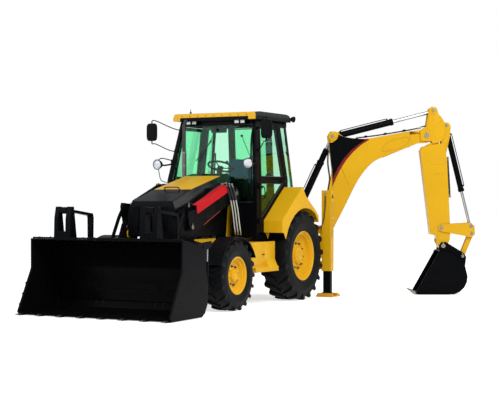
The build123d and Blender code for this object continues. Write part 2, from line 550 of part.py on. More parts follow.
# ---- rear frame, stabilizer columns and legs ----
cols = []
for side in (1, -1):
    y0, y1 = yspan(side, COLUMN_Y0, COLUMN_Y1)
    col = box(COLUMN_X0, COLUMN_X1, y0, y1, COLUMN_Z0, COLUMN_Z1)
    cols.append(col.cut(box(COLUMN_X0 + 12, COLUMN_X1 - 12, y0 + 12, y1 - 12, COLUMN_Z0 - 5,
                            COLUMN_Z1 - 14)))
rails = [box(COLUMN_X0, COLUMN_X0 + 80, -COLUMN_Y0, COLUMN_Y0, *z)
         for z in (SHIFT_RAIL_LOW, SHIFT_RAIL_HIGH)]
nodes["rear_frame"] = join(cols + rails + [
    box(COLUMN_X0 + 80, FRAME_REAR, -420, 420, SHIFT_RAIL_LOW[0], SHIFT_RAIL_HIGH[1])])
for name, side in (("left", 1), ("right", -1)):
    y0, y1 = yspan(side, COLUMN_Y0, COLUMN_Y1)
    leg = join(box(COLUMN_X0 + 18, COLUMN_X1 - 18, y0 + 18, y1 - 18, 15, 1290),
               [box(COLUMN_X0 + 12 + SEAT, COLUMN_X1 - 12 - SEAT, y0 + 40, y1 - 40, z, z + 60)
                for z in (800, 1220)],
               [box(COLUMN_X0 + 36, COLUMN_X1 - 36, y0 + 12 + SEAT, y1 - 12 - SEAT, z, z + 60)
                for z in (800, 1220)])
    pad = prism([(COLUMN_X0 - 130, 0), (COLUMN_X1 + 70, 0), (COLUMN_X1 + 70, 22),
                 (COLUMN_X1 + 20, 60), (COLUMN_X0 - 60, 60), (COLUMN_X0 - 130, 22)],
                "y", *yspan(side, COLUMN_Y0 - 60, COLUMN_Y1 + 54))
    pad = pad.cut(box(COLUMN_X0 - 12, COLUMN_X1 + 12, *yspan(side, COLUMN_Y0 - 70, COLUMN_Y1 + 70),
                      COLUMN_Z0 - LEG_LIFT - 7, 70))
    nodes["stabilizer_" + name] = join(leg, pad)

# ---- sideshift carriage ----
kx, ky = KINGPOST
plate_x0, plate_x1 = -935.0, COLUMN_X0 - 6.0
ears = []
for z0, z1 in ((430, 490), (780, 840)):
    e = join(prism([(plate_x0, ky - 200), (plate_x0, ky + 200), (kx + 135, ky + 114), (kx, ky + 108),
                    (kx, ky - 108), (kx + 135, ky - 114)], "z", z0, z1),
             rod((kx, ky, z0), (kx, ky, z1), 110))
    ears.append(e.cut(rod((kx, ky, z0 - 5), (kx, ky, z1 + 5), 45 + FIT)))
nodes["shift_carriage"] = join(
    [box(plate_x0, plate_x1, ky - 270, ky + 270, 400, 1160),
     box(plate_x0, COLUMN_X0 + 60, ky - 270, ky + 270, SHIFT_RAIL_HIGH[1] + 6, 1160),
     box(plate_x0, COLUMN_X0 + 60, ky - 270, ky + 270, 400, SHIFT_RAIL_LOW[0] - 6),
     [box(plate_x1 - 1, COLUMN_X0 - SEAT, ky + y, ky + y + 90, z0 + 25, z1 - 25)
      for y in (-250, 160) for z0, z1 in (SHIFT_RAIL_LOW, SHIFT_RAIL_HIGH)],
     [box(COLUMN_X0 + 8, COLUMN_X0 + 52, ky + y, ky + y + 90, z0, z1)
      for y in (-250, 160) for z0, z1 in ((SHIFT_RAIL_HIGH[1] + SEAT, SHIFT_RAIL_HIGH[1] + 7),
                                          (SHIFT_RAIL_LOW[0] - 7, SHIFT_RAIL_LOW[0] - SEAT))]]
    + ears)

# ---- hoe, drawn in its own side view with x outward from the kingpost ----
hoe = {}
SIDE_IN, SIDE_OUT = 88.0, 112.0
post_plate = [(150, 497), (300, 600), (306, 680), (250, 760), (200, 1000), (60, 1150),
              (-180, 1150), (-285, 1120), (-285, 1050), (-110, 850), (125, 850), (125, 497)]
plates = []
for s in (1, -1):
    pl = prism(post_plate, "y", *yspan(s, SIDE_IN, SIDE_OUT))
    pl = join(pl, pin(BOOM_CYL_BASE, 52, s * 62, s * SIDE_IN))
    pl = pl.cut(pin(HOE_FOOT, 38 + FIT, s * 40, s * 130), pin(BOOM_CYL_BASE, 30 + FIT, s * 30, s * 130))
    plates.append(pl)
hoe["swing_post"] = join(plates + [
    rod((0, 0, 497), (0, 0, 773), 100), rod((0, 0, 425), (0, 0, 500), 45),
    rod((0, 0, 770), (0, 0, 855), 45), box(60, 150, -SIDE_OUT, SIDE_OUT, 497, 773),
    box(-110, 110, -SIDE_OUT, SIDE_OUT, 850, 1000)])

BOOM = [(300, 650), (489, 1084), (696, 1499), (857, 1824), (1019, 2054), (1180, 2192),
        (1409, 2286), (1870, 2469), (2002, 2474), (2110, 2550), (2110, 2630), (2060, 2700),
        (1822, 2676), (1225, 2574), (948, 2539), (640, 2575), (520, 2660), (420, 2660),
        (380, 2586), (407, 2379), (453, 2054), (408, 1755), (300, 1100), (168, 665)]
BOOM_WIDE = [(500, 1108), (696, 1499), (857, 1824), (1019, 2054), (1180, 2192), (1409, 2286),
             (1720, 2409), (1720, 2658), (1225, 2574), (948, 2539), (640, 2575), (520, 2660),
             (420, 2660), (380, 2586), (407, 2379), (453, 2054), (408, 1755), (302, 1108)]
BOOM_HALF, BOOM_NARROW = 110.0, 76.0


def flowing(points, spans, steps=4):
    """The outline with the named spans of corners drawn as one smooth line."""
    out = []
    for i, p in enumerate(points):
        q = points[(i + 1) % len(points)]
        if any(a <= i < b for a, b in spans):
            before, after = points[i - 1], points[(i + 2) % len(points)]
            for k in range(steps):
                t = k / steps
                out.append(tuple(0.5 * (2 * p[c] + (q[c] - before[c]) * t
                                        + (2 * before[c] - 5 * p[c] + 4 * q[c] - after[c]) * t * t
                                        + (3 * p[c] - before[c] - 3 * q[c] + after[c]) * t ** 3)
                                 for c in (0, 1)))
        else:
            out.append(p)
    return out


BOOM = flowing(BOOM, ((1, 6), (13, 15), (19, 21)))
BOOM_WIDE = flowing(BOOM_WIDE, ((1, 5), (8, 10), (14, 16)))
narrow = join(prism(BOOM, "y", -BOOM_NARROW, BOOM_NARROW), pin(HOE_FOOT, 66, -80, 80),
              pin(STICK_PIVOT, 112, -BOOM_NARROW, BOOM_NARROW),
              pin(HOE_FOOT, 38, -118, 118), pin(STICK_PIVOT, 40, -124, 124))
wide = prism(BOOM_WIDE, "y", -BOOM_HALF, BOOM_HALF)
slot = prism([(300, 1990), (440, 2060), (500, 2250), (590, 2490), (780, 2530), (780, 2760), (300, 2760)], "y",
             -62, 62)
hoe["boom"] = join(narrow, wide).cut(slot).fuse(*[
    pin(BOOM_NOSE, 70, *yspan(s, BOOM_HALF, BOOM_HALF + 14)) for s in (1, -1)] + [
    pin(BOOM_NOSE, 28, *yspan(s, 37, 70)) for s in (1, -1)])

hoe["boom_barrel"] = barrel(BOOM_CYL_BASE, BOOM_NOSE, 0, 55, 1200, 32, 55, 55, 0).fuse(
    pin(BOOM_CYL_BASE, 30, -118, 118))
hoe["boom_rod"] = piston(BOOM_CYL_BASE, BOOM_NOSE, 0, 0, 232, 50, 20, 32, 22, 45)

# the stick cylinder has two lugs that reach round the boom cylinder's eye
(sx, sz), s_len = direction(BOOM_NOSE, STICK_ROD_PIN)
tube0, tube1 = along(BOOM_NOSE, STICK_ROD_PIN, 135), along(BOOM_NOSE, STICK_ROD_PIN, 1030)
lugs = []
for s in (1, -1):
    lug = bar(p3(BOOM_NOSE, s * 46), p3(along(BOOM_NOSE, STICK_ROD_PIN, 175), s * 46), 90, 18)
    lugs.append(join(lug, pin(BOOM_NOSE, 45, s * 37, s * 55)).cut(
        pin(BOOM_NOSE, 28 + FIT, s * 30, s * 70)))
stick_barrel = join(lugs + [rod(p3(tube0, 0), p3(tube1, 0), 52)])
stick_barrel = stick_barrel.cut(
    rod(p3(along(BOOM_NOSE, STICK_ROD_PIN, 200), 0), p3(along(BOOM_NOSE, STICK_ROD_PIN, 990), 0), 43),
    rod(p3(along(BOOM_NOSE, STICK_ROD_PIN, 980), 0), p3(along(BOOM_NOSE, STICK_ROD_PIN, 1040), 0), 30 + FIT))
hoe["stick_barrel"] = stick_barrel
hoe["stick_rod"] = piston(BOOM_NOSE, STICK_ROD_PIN, 0, 0, 700, 50, 34, 30, 22, 42)

# stick head and inner beam
(ux, uz) = STICK_DIR
centre = (2081.0, 2452.0)


def stick_at(s, across):
    """Point s down the stick from its top, and across it, outward."""
    return (centre[0] + ux * s - uz * across, centre[1] + uz * s + ux * across)


INNER_W, CAVITY_W, INNER_H, CAVITY_H = 125.0, 131.0, 92.0, 98.0
cheek = [(1900, 2505), (1895, 2680), (1990, 2740), (2035, 3030), (2085, 3065), (2165, 3040),
         (2180, 2960), (2190, 2800), (2222, 2600), (2205, 2490)]
head = [prism(cheek, "y", *yspan(s, 84, 112)) for s in (1, -1)]
head = [join(h, pin(STICK_ROD_PIN, 55, s * 40, s * 84)).cut(
    pin(STICK_PIVOT, 40 + FIT, s * 60, s * 130)) for h, s in zip(head, (1, -1))]
beam = prism([stick_at(24, -118), stick_at(-40, 40), (2208, 2575), (2222, 2540), stick_at(-20, INNER_W),
              stick_at(1295, INNER_W), stick_at(1295, -INNER_W), stick_at(48, -INNER_W)],
             "y", -INNER_H, INNER_H)
beam = beam.cut(pin(STICK_PIVOT, 121, -100, 100))
beam_pads = [prism([stick_at(1196, a), stick_at(1290, a), stick_at(1290, b), stick_at(1196, b)], "y",
                   -60, 60) for a, b in ((INNER_W - 1, CAVITY_W - SEAT), (-CAVITY_W + SEAT, 1 - INNER_W))]
beam_pads += [prism([stick_at(1196, -80), stick_at(1290, -80), stick_at(1290, 80), stick_at(1196, 80)],
                    "y", *yspan(s, INNER_H - 1, CAVITY_H - SEAT)) for s in (1, -1)]
beam = join(beam, beam_pads)
hoe["stick_head"] = join(head + [beam])

outer = [(1934, 2412), (2282, 2469), (2330, 2200), (2388, 993), (2376, 890), (2330, 760), (2267, 715),
         (2200, 760), (2150, 960), (2056, 975), (1893, 2345)]
out_s = prism(outer, "y", -122, 122)
cavity = prism([stick_at(-90, -CAVITY_W), stick_at(-90, CAVITY_W), stick_at(1360, CAVITY_W),
                stick_at(1360, -CAVITY_W)], "y", -CAVITY_H, CAVITY_H)
out_s = out_s.cut(cavity)
top_pads = [prism([stick_at(60, a), stick_at(140, a), stick_at(140, b), stick_at(60, b)], "y", -60, 60)
            for a, b in ((INNER_W + SEAT, CAVITY_W + 1), (-CAVITY_W - 1, -INNER_W - SEAT))]
top_pads += [prism([stick_at(60, -80), stick_at(140, -80), stick_at(140, 80), stick_at(60, 80)], "y",
                   *yspan(s, INNER_H + SEAT, CAVITY_H + 1)) for s in (1, -1)]
out_s = join(out_s, top_pads)
bracket = [prism([(2262, 2300), (2240, 2440), (2240, 2560), (2262, 2760), (2290, 2805), (2352, 2805),
                  (2392, 2752), (2384, 2600), (2352, 2440), (2318, 2300)], "y", *yspan(s, 52, 96))
           for s in (1, -1)]
bracket = [b.cut(pin(CURL_BASE, 24 + FIT, s * 20, s * 110)) for b, s in zip(bracket, (1, -1))]
out_s = join([out_s] + bracket + [pin(HOE_BUCKET_PIN, 72, -122, 122)])
out_s = out_s.cut(pin(LEVER_PIN, 32 + FIT, -140, 140))
hoe["stick_outer"] = join(out_s, pin(HOE_BUCKET_PIN, 36, -160, 160))

hoe["curl_barrel"] = barrel(CURL_BASE, CURL_ROD_PIN, 0, 45, 1110, 25, 44, 48, 0).fuse(
    pin(CURL_BASE, 24, -92, 92))
hoe["curl_rod"] = piston(CURL_BASE, CURL_ROD_PIN, 0, 0, 640, 40, 30, 25, 18, 34)

lever = [(2190, 1105), (2236, 1137), (2700, 1165), (2775, 1120), (2785, 980), (2740, 930),
         (2690, 935), (2240, 1020), (2185, 1050)]
lev = [prism(lever, "y", *yspan(s, 130, 152)) for s in (1, -1)]
hoe["bucket_lever"] = join(lev + [pin(LEVER_PIN, 32, -152, 152),
                                  [pin(CURL_ROD_PIN, 42, *yspan(s, 38, 132)) for s in (1, -1)],
                                  pin(LEVER_END, 26, -132, 132),
                                  [pin(LEVER_END, 42, *yspan(s, 82, 132)) for s in (1, -1)]])
link = [join(bar(p3(LEVER_END, s * 57), p3(HOE_LINK_EAR, s * 57), 76, 38),
             pin(LEVER_END, 48, *yspan(s, 38, 76)), pin(HOE_LINK_EAR, 43, *yspan(s, 38, 76)))
        for s in (1, -1)]
link = join(link, bar(p3(along(LEVER_END, HOE_LINK_EAR, 150), 0),
                      p3(along(LEVER_END, HOE_LINK_EAR, 310), 0), 60, 90))
hoe["bucket_link"] = link.cut(pin(HOE_LINK_EAR, 26, -90, 90), pin(LEVER_END, 26 + FIT, -90, 90))

DIG = [(1800, 24), (1840, 0), (2330, 1), (2430, 12), (2520, 52), (2590, 120), (2630, 205),
       (2642, 300), (2622, 382), (2600, 470), (2500, 590), (2380, 665), (2190, 722)]
DIG_IN = [(1700, 60), (1850, 18), (2328, 19), (2424, 29), (2510, 68), (2576, 132), (2613, 211),
          (2624, 300), (2605, 379), (2585, 461), (2490, 574), (2374, 647), (2186, 704), (2060, 760)]
hb = HOE_BUCKET_HALF
scoop = prism(DIG, "y", -hb, hb).cut(prism(DIG_IN, "y", -hb + 14, hb - 14))
scoop = scoop.cut(prism([(2195, 735), (1810, 60), (1740, 30), (1700, 400), (2000, 900)], "y",
                        -hb - 5, hb + 5))
ear_p = [(2190, 712), (2200, 800), (2240, 850), (2310, 850), (2600, 672), (2640, 610), (2620, 440),
         (2500, 580), (2380, 655)]
ears = [prism(ear_p, "y", *yspan(s, 128, 154)).cut(pin(HOE_BUCKET_PIN, 36 + FIT, s * 60, s * 170))
        for s in (1, -1)]
teeth = [prism([(1850, 0), (1870, 22), (1713, 78), (1708, 66), (1790, 0)], "y", y - 26, y + 26)
         for y in [-hb + 40 + i * (2 * hb - 80) / 4 for i in range(5)]]
hoe["hoe_bucket"] = join([scoop] + ears + teeth)

for name, s in hoe.items():
    nodes[name] = s.rotate(Axis.Z, SWING_AT_REST).moved(Location((kx, ky, 0)))


# ---- loader arms ----
TILT_Y = ARM_OUT + 82.0
ARM = [(1150, 1730), (1240, 1745), (2560, 1318), (2700, 1200), (2790, 1010), (2942, 668), (3140, 290),
       (3150, 200),
       (3080, 150), (3010, 200), (2995, 270), (2720, 800), (2560, 1000), (1230, 1530), (1120, 1600)]
arms = []
for side in (1, -1):
    y0, y1 = yspan(side, ARM_IN, ARM_OUT)
    a = join(prism(ARM, "y", y0, y1), pin(ARM_PIVOT, 92, y0 - 14, y1 + 14))
    lug_y = ((ARM_IN - 14, ARM_IN + 4), (ARM_OUT - 4, ARM_OUT + 14))
    lugs = [prism([(2380, 1080), (2400, 960), (2430, 895), (2510, 895), (2540, 960), (2560, 1020)],
                  "y", *yspan(side, *ly)) for ly in lug_y]
    a = join([a] + lugs + [pin(ARM_PIVOT, 40, side * (ARM_IN - 38), side * (ARM_OUT + 46)),
                           pin(LEVER_PIVOT, 30, side * ARM_OUT, side * (ARM_OUT + 60)),
                           pin(TILT_BASE, 36, side * ARM_OUT, side * (TILT_Y - 42)),
                           pin(BUCKET_PIN, 34, side * (ARM_IN - 34), side * (ARM_OUT + 58)),
                           pin(TILT_BASE, 24, side * ARM_OUT, side * (TILT_Y + 36)),
                           prism([(1490, 1640), (1525, 1780), (1630, 1780), (1680, 1590)], "y",
                                 *yspan(side, ARM_IN, ARM_OUT))])
    arms.append(a)
arms.append(rod((2835, -ARM_IN, 760), (2835, ARM_IN, 760), 72))
nodes["lift_arms"] = join(arms)

nodes["lift_barrels"] = both(lambda s: join(
    barrel(LIFT_BASE, LIFT_EYE, s * 470, 42, 1196, 23, 50, 42, 0),
    pin(LIFT_BASE, 28, s * 396, s * 540)))
nodes["lift_rods"] = both(lambda s: piston(LIFT_BASE, LIFT_EYE, s * 470, 0, 98, 44, 20, 23, 22, 33))
frame = nodes["main_frame"]
for side in (1, -1):
    frame = frame.cut(pin(LIFT_BASE, 28 + FIT, side * 395, side * 545))
nodes["main_frame"] = frame
nodes["tilt_barrels"] = both(lambda s: barrel(TILT_BASE, TILT_EYE, s * TILT_Y, 38, 706, 22, 42, 30, 24))
nodes["tilt_rods"] = both(lambda s: piston(TILT_BASE, TILT_EYE, s * TILT_Y, 0, 227, 40, 16, 22, 20, 29))


def brace():
    """Safety channel clipped over the left tilt cylinder: a deep outer plate and a top flange."""
    (dx, dz), _ = direction(TILT_BASE, TILT_EYE)

    def off(s0, up):
        x, z = along(TILT_BASE, TILT_EYE, s0)
        return (x - dz * up, z + dx * up)
    plate = prism([off(112, -58), off(112, 30), off(140, 64), off(990, 64), off(1012, 30),
                   off(1012, -58)], "y", TILT_Y + 50, TILT_Y + 58)
    flange = prism([off(140, 57), off(140, 64), off(990, 64), off(990, 57)], "y",
                   TILT_Y - 22, TILT_Y + 58)
    clips = [rod(p3(along(TILT_BASE, TILT_EYE, s0), TILT_Y),
                 p3(along(TILT_BASE, TILT_EYE, s0 + 24), TILT_Y), 52).cut(
        rod(p3(along(TILT_BASE, TILT_EYE, s0 - 5), TILT_Y),
            p3(along(TILT_BASE, TILT_EYE, s0 + 30), TILT_Y), 38 + SEAT)) for s0 in (180, 640)]
    ties = [prism([off(s0, 45), off(s0 + 24, 45), off(s0 + 24, 60), off(s0, 60)], "y",
                  TILT_Y - 20, TILT_Y + 20) for s0 in (180, 640)]
    return join(plate, flange, clips, ties)


nodes["safety_brace"] = brace()

LEVER = [(2470, 1130), (2500, 1100), (2560, 1110), (2585, 1160), (2658, 1440), (2640, 1495),
         (2590, 1500), (2430, 1486), (2385, 1450), (2390, 1405), (2430, 1392), (2458, 1200)]


def tilt_lever(s):
    y0, y1 = yspan(s, ARM_OUT + 32, ARM_OUT + 52)
    return join(prism(LEVER, "y", y0, y1).cut(
        pin(LEVER_PIVOT, 30 + FIT, s * (ARM_OUT + 28), s * (ARM_OUT + 56))),
        pin(LEVER_LINK, 24, s * (ARM_OUT + 4), s * (ARM_OUT + 32)))


def tilt_link(s):
    y0, y1 = yspan(s, ARM_OUT + 6, ARM_OUT + 26)
    mid = s * (ARM_OUT + 16)
    (dx, dz), _ = direction(LEVER_LINK, BUCKET_EAR)
    via = [LEVER_LINK] + [(x - dz * 30, z + dx * 30) for x, z in (
        along(LEVER_LINK, BUCKET_EAR, 210), along(LEVER_LINK, BUCKET_EAR, 430))] + [BUCKET_EAR]
    body = join([bar(p3(a, mid), p3(b, mid), 60, 20) for a, b in zip(via, via[1:])],
                [pin(v, 30, y0, y1) for v in via[1:3]], pin(LEVER_LINK, 42, y0, y1),
                pin(BUCKET_EAR, 42, y0, y1))
    return body.cut(pin(LEVER_LINK, 24 + FIT, y0 - 5, y1 + 5), pin(BUCKET_EAR, 24, y0 - 5, y1 + 5))


nodes["tilt_levers"] = both(tilt_lever)
nodes["tilt_links"] = both(tilt_link)

# ---- loader bucket ----
BACK = [(3385, 12), (3290, 60), (3215, 190), (3222, 420), (3262, 640), (3340, 820), (3480, 950),
        (3660, 1005), (3865, 1022)]
BACK_IN = [(3865, 1004), (3664, 987), (3489, 934), (3355, 810), (3279, 635), (3240, 418),
           (3233, 194), (3302, 74), (3388, 30)]
bw = BUCKET_HALF
back = prism(BACK + BACK_IN, "y", -bw + 30, bw - 30)
ear_p = [(3010, 180), (3080, 150), (3300, 70), (3240, 200), (3240, 420), (3275, 600), (3190, 585),
         (3130, 575), (3090, 530), (3000, 280)]
ears = []
for side in (1, -1):
    for y0, y1 in ((ARM_IN - 30, ARM_IN - 8), (ARM_OUT + 32, ARM_OUT + 54)):
        e = prism(ear_p, "y", *yspan(side, y0, y1))
        ears.append(e.cut(pin(BUCKET_PIN, 34 + FIT, side * (y0 - 5), side * (y1 + 5))))
    hinge = join(prism([(3275, 870), (3300, 975), (3400, 960), (3420, 895), (3330, 790)], "y",
                       *yspan(side, bw - 60, bw - 30)),
                 pin(CLAM_PIN, 22, side * (bw - 60), side * (bw + 8)))
    base = [prism([(3130, 290), (3130, 365), (3225, 420), (3225, 260)], "y",
                  *yspan(side, bw - 96, bw - 82)),
            pin(CLAM_BASE, 14, side * (bw - 96), side * (bw - 30))]
    ears += [hinge, join(base)]
nodes["bucket_back"] = join([back] + ears)

SIDE_PLATE = [(3370, 12), (4120, 10), (4160, 50), (3860, 623), (3860, 1022), (3700, 1012), (3480, 960),
              (3330, 985), (3120, 1000), (3095, 960), (3120, 925), (3262, 880), (3262, 640),
              (3222, 420), (3215, 190), (3290, 60)]
clam = [prism([(3392, 12), (4120, 6), (4149, 15), (4120, 30), (3392, 36)], "y", -bw + 5, bw - 5)]
for side in (1, -1):
    p = prism(SIDE_PLATE, "y", *yspan(side, bw - 22, bw))
    clam.append(p.cut(pin(CLAM_PIN, 22 + FIT, side * (bw - 30), side * (bw + 5))))
TEETH = 8
for i in range(TEETH):
    y = -bw + 60 + i * (2 * bw - 120) / (TEETH - 1)
    clam.append(prism([(4080, 26), (4130, 34), (4240, 18), (4240, 8), (4100, 0), (4080, 4)], "y",
                      y - 32, y + 32))
nodes["bucket_clam"] = join(clam)

CLAM_Y = bw - 53
nodes["clam_barrels"] = both(lambda s: barrel(CLAM_BASE, CLAM_EYE, s * CLAM_Y, 22, 400, 12, 24, 16, 14))
nodes["clam_rods"] = both(lambda s: piston(CLAM_BASE, CLAM_EYE, s * CLAM_Y, 0, 262, 24, 12, 12, 11, 13))


# ---- flip-over forks ----
def fork_bracket(side):
    y0, y1 = side * (FORK_Y - 140), side * (FORK_Y + 125)
    a, b = min(y0, y1), max(y0, y1)
    base = prism([(3700, 1024), (3860, 1024), (3850, 1300), (3815, 1452), (3765, 1452), (3740, 1300)],
                 "y", a, b)
    gap = prism([(3600, 1120), (3960, 1120), (3960, 1500), (3600, 1500)], "y",
                *yspan(side, FORK_Y - 60, FORK_Y + 60))
    foot = box(3690, 3862, a, b, 1010, 1030)
    return join(base.cut(gap), foot, pin(FORK_PIN, 20, a, b))


nodes["bucket_back"] = join([nodes["bucket_back"]] + [fork_bracket(s) for s in (1, -1)])


def fork(side):
    y0, y1 = yspan(side, FORK_Y - 40, FORK_Y + 40)
    shape = prism([(3770, 1425), (3755, 1385), (3215, 1318), (3206, 1290), (3196, 330), (3184, 325),
                   (3160, 1300), (3180, 1355)], "y", y0, y1)
    eye = pin(FORK_PIN, 46, side * (FORK_Y - 52), side * (FORK_Y + 52))
    return join(shape, eye).cut(pin(FORK_PIN, 20 + FIT, side * (FORK_Y - 60), side * (FORK_Y + 60)))


nodes["fork_left"], nodes["fork_right"] = fork(1), fork(-1)


# ---- lamps and mirrors ----
def lamp(side):
    x, y, z = 1236, side * 802, 2090
    slope_x = (A_FOOT - A_TOP) / (EAVE_UP - BELT_Z + 12)
    low, up = (A_FOOT - slope_x * (z + dz - BELT_Z + 12) + SEAT * 1.1 for dz in (-18, 18))
    foot = lean(prism([(low, z - 18), (up, z + 18), (up + 24, z + 18), (low + 24, z - 18)], "y",
                      *yspan(side, CAB_HALF - 40, CAB_HALF - 8)), side)
    return join(rod((x - 60, y, z), (x + 40, y, z), 78),
                rod((x - 40, y, z), (low + 12, side * 722, z), 12), foot)


def mirror(side):
    x, y, z = 1088, side * 965, 2560
    feet, arms_m = [], []
    for zf, zo in ((2290, -160), (2620, 160)):
        front = A_FOOT - (A_FOOT - A_TOP) / (EAVE_Z - BELT_Z) * (zf - BELT_Z)
        feet.append(lean(box(front - 62, front - 30, *yspan(side, CAB_HALF + SEAT, CAB_HALF + 16),
                             zf - 16, zf + 16), side))
        yf = CAB_HALF + 8 - (zf - BELT_Z) * (CAB_HALF - CAB_TOP_HALF) / (EAVE_Z - BELT_Z)
        arms_m.append(rod((x - 15, y, z + zo), (front - 46, side * yf, zf - 4), 7))
    return join(box(x - 30, x + 10, y - 85, y + 85, z - 140, z + 140),
                rod((x - 15, y, z - 168), (x - 15, y, z + 168), 9), feet, arms_m)


nodes["lamps"] = both(lamp) + [
    box(A_TOP + 36, A_TOP + 84, y - 42, y + 42, EAVE_Z - 60, EAVE_Z + 28.7)
    for y in (-470, -370, 370, 470)]
nodes["mirrors"] = both(mirror)

os.makedirs("parts", exist_ok=True)
for name, shape in nodes.items():
    flat = []
    for s in flatten([shape]):
        flat += list(s.solids())
    moved = [s.moved(Location(FRAME_SHIFT)) for s in flat]
    out = Compound(children=moved) if len(moved) > 1 else moved[0]
    export_step(out, "parts/" + name + ".step")
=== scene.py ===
import math

import bmesh
import bpy
import numpy as np
from mathutils import Matrix, Vector


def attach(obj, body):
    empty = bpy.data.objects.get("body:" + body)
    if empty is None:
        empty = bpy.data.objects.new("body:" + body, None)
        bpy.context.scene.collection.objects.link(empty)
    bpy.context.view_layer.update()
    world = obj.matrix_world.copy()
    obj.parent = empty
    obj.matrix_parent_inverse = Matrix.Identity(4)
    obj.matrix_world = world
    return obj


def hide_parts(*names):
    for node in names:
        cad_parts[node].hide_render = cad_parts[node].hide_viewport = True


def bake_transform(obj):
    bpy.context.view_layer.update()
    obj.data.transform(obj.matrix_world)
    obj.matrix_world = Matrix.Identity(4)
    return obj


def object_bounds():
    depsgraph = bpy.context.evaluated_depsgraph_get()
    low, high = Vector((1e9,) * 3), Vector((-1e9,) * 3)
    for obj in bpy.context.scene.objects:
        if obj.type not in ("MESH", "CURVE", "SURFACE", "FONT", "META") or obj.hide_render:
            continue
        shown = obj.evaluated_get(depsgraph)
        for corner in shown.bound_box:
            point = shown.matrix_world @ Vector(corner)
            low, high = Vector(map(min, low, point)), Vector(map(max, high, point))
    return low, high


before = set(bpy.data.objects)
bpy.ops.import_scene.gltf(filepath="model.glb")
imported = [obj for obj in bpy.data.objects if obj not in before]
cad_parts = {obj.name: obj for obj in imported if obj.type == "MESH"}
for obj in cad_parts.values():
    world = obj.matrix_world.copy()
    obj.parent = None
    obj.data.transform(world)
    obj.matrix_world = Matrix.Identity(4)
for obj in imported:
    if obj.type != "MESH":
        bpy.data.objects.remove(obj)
cad_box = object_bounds()
scene = bpy.context.scene


# ---- camera ----
# Stands well in front of the machine on its left, near a person's eye height, with a
# long lens. Places are given from the ground under the rear axle, as on the drawings.
AXLE = Vector((-0.7366, -0.8797, 0.0))


def at(x, y, z):
    """A drawing point in metres, as a point of the shared frame."""
    return Vector((x, y, z)) + AXLE


def stand(name, data):
    """A new object of that name, put in the scene."""
    thing = bpy.data.objects.new(name, data)
    scene.collection.objects.link(thing)
    return thing


eye = at(17.815, 9.578, 1.557)
heading, pitch = math.radians(180 + 28.60), math.radians(-0.65)
look = Vector((math.cos(heading) * math.cos(pitch), math.sin(heading) * math.cos(pitch),
               math.sin(pitch)))
cam_data = bpy.data.cameras.new("viewpoint")
cam_data.sensor_width, cam_data.lens = 36.0, 92.74
cam_data.shift_x, cam_data.shift_y = 0.0265, 0.0257
cam_data.clip_start, cam_data.clip_end = 0.5, 200.0
camera = stand("viewpoint", cam_data)
camera.location = eye
camera.rotation_euler = look.to_track_quat("-Z", "Y").to_euler()
scene.camera = camera


# ---- floor and light ----
# A plain white studio floor that stays white to the camera and in reflections, three soft
# lamps, the strongest high on the left, and an even sky for the shadow side.
def emptied(owner):
    """The node tree of a material or a world, with nothing in it yet."""
    owner.use_nodes = True
    owner.node_tree.nodes.clear()
    return owner.node_tree


def feed(tree, node, inputs):
    """Sets or links inputs, by name or in order; a node stands for its first output."""
    for key, value in inputs.items() if isinstance(inputs, dict) else enumerate(inputs):
        if isinstance(value, bpy.types.Node):
            value = value.outputs[0]
        if isinstance(value, bpy.types.NodeSocket):
            tree.links.new(value, node.inputs[key])
        else:
            node.inputs[key].default_value = value


def add(tree, kind, inputs=(), **settings):
    """A node of that kind, with its settings and then its inputs."""
    node = tree.nodes.new(kind)
    for key, value in settings.items():
        setattr(node, key, value)
    feed(tree, node, inputs)
    return node


FLOOR_HALF = 90.0
floor_mat = bpy.data.materials.new("studio_floor")
tree = emptied(floor_mat)
ray = add(tree, "ShaderNodeLightPath").outputs
matt = add(tree, "ShaderNodeBsdfDiffuse", {"Color": (0.86, 0.86, 0.86, 1)})
glow = add(tree, "ShaderNodeEmission", {"Color": (1, 1, 1, 1), "Strength": 0.62})
both_ways = add(tree, "ShaderNodeAddShader", (matt, glow))
seen = add(tree, "ShaderNodeMath", (ray["Is Camera Ray"], ray["Is Glossy Ray"]),
           operation="MAXIMUM")
mix = add(tree, "ShaderNodeMixShader", (seen, matt, both_ways))
add(tree, "ShaderNodeOutputMaterial", (mix,))

floor_mesh = bpy.data.meshes.new("studio_floor")
floor_mesh.from_pydata([(FLOOR_HALF * x, FLOOR_HALF * y, 0)
                        for x, y in ((-1, -1), (1, -1), (1, 1), (-1, 1))], [], [(0, 1, 2, 3)])
floor_mesh.materials.append(floor_mat)
floor = stand("studio_floor", floor_mesh)
floor.location.z = cad_box[0].z - 0.0005

world = bpy.data.worlds.new("studio")
scene.world = world
tree = emptied(world)
ray = add(tree, "ShaderNodeLightPath").outputs
lit = add(tree, "ShaderNodeBackground", {"Color": (0.93, 0.97, 1.0, 1), "Strength": 0.55})
white = add(tree, "ShaderNodeBackground", {"Color": (1, 1, 1, 1), "Strength": 1.0})
clear = add(tree, "ShaderNodeMath", (ray["Is Camera Ray"], ray["Is Transmission Ray"]),
            operation="MAXIMUM")
mix = add(tree, "ShaderNodeMixShader", (clear, lit, white))
add(tree, "ShaderNodeOutputWorld", (mix,))

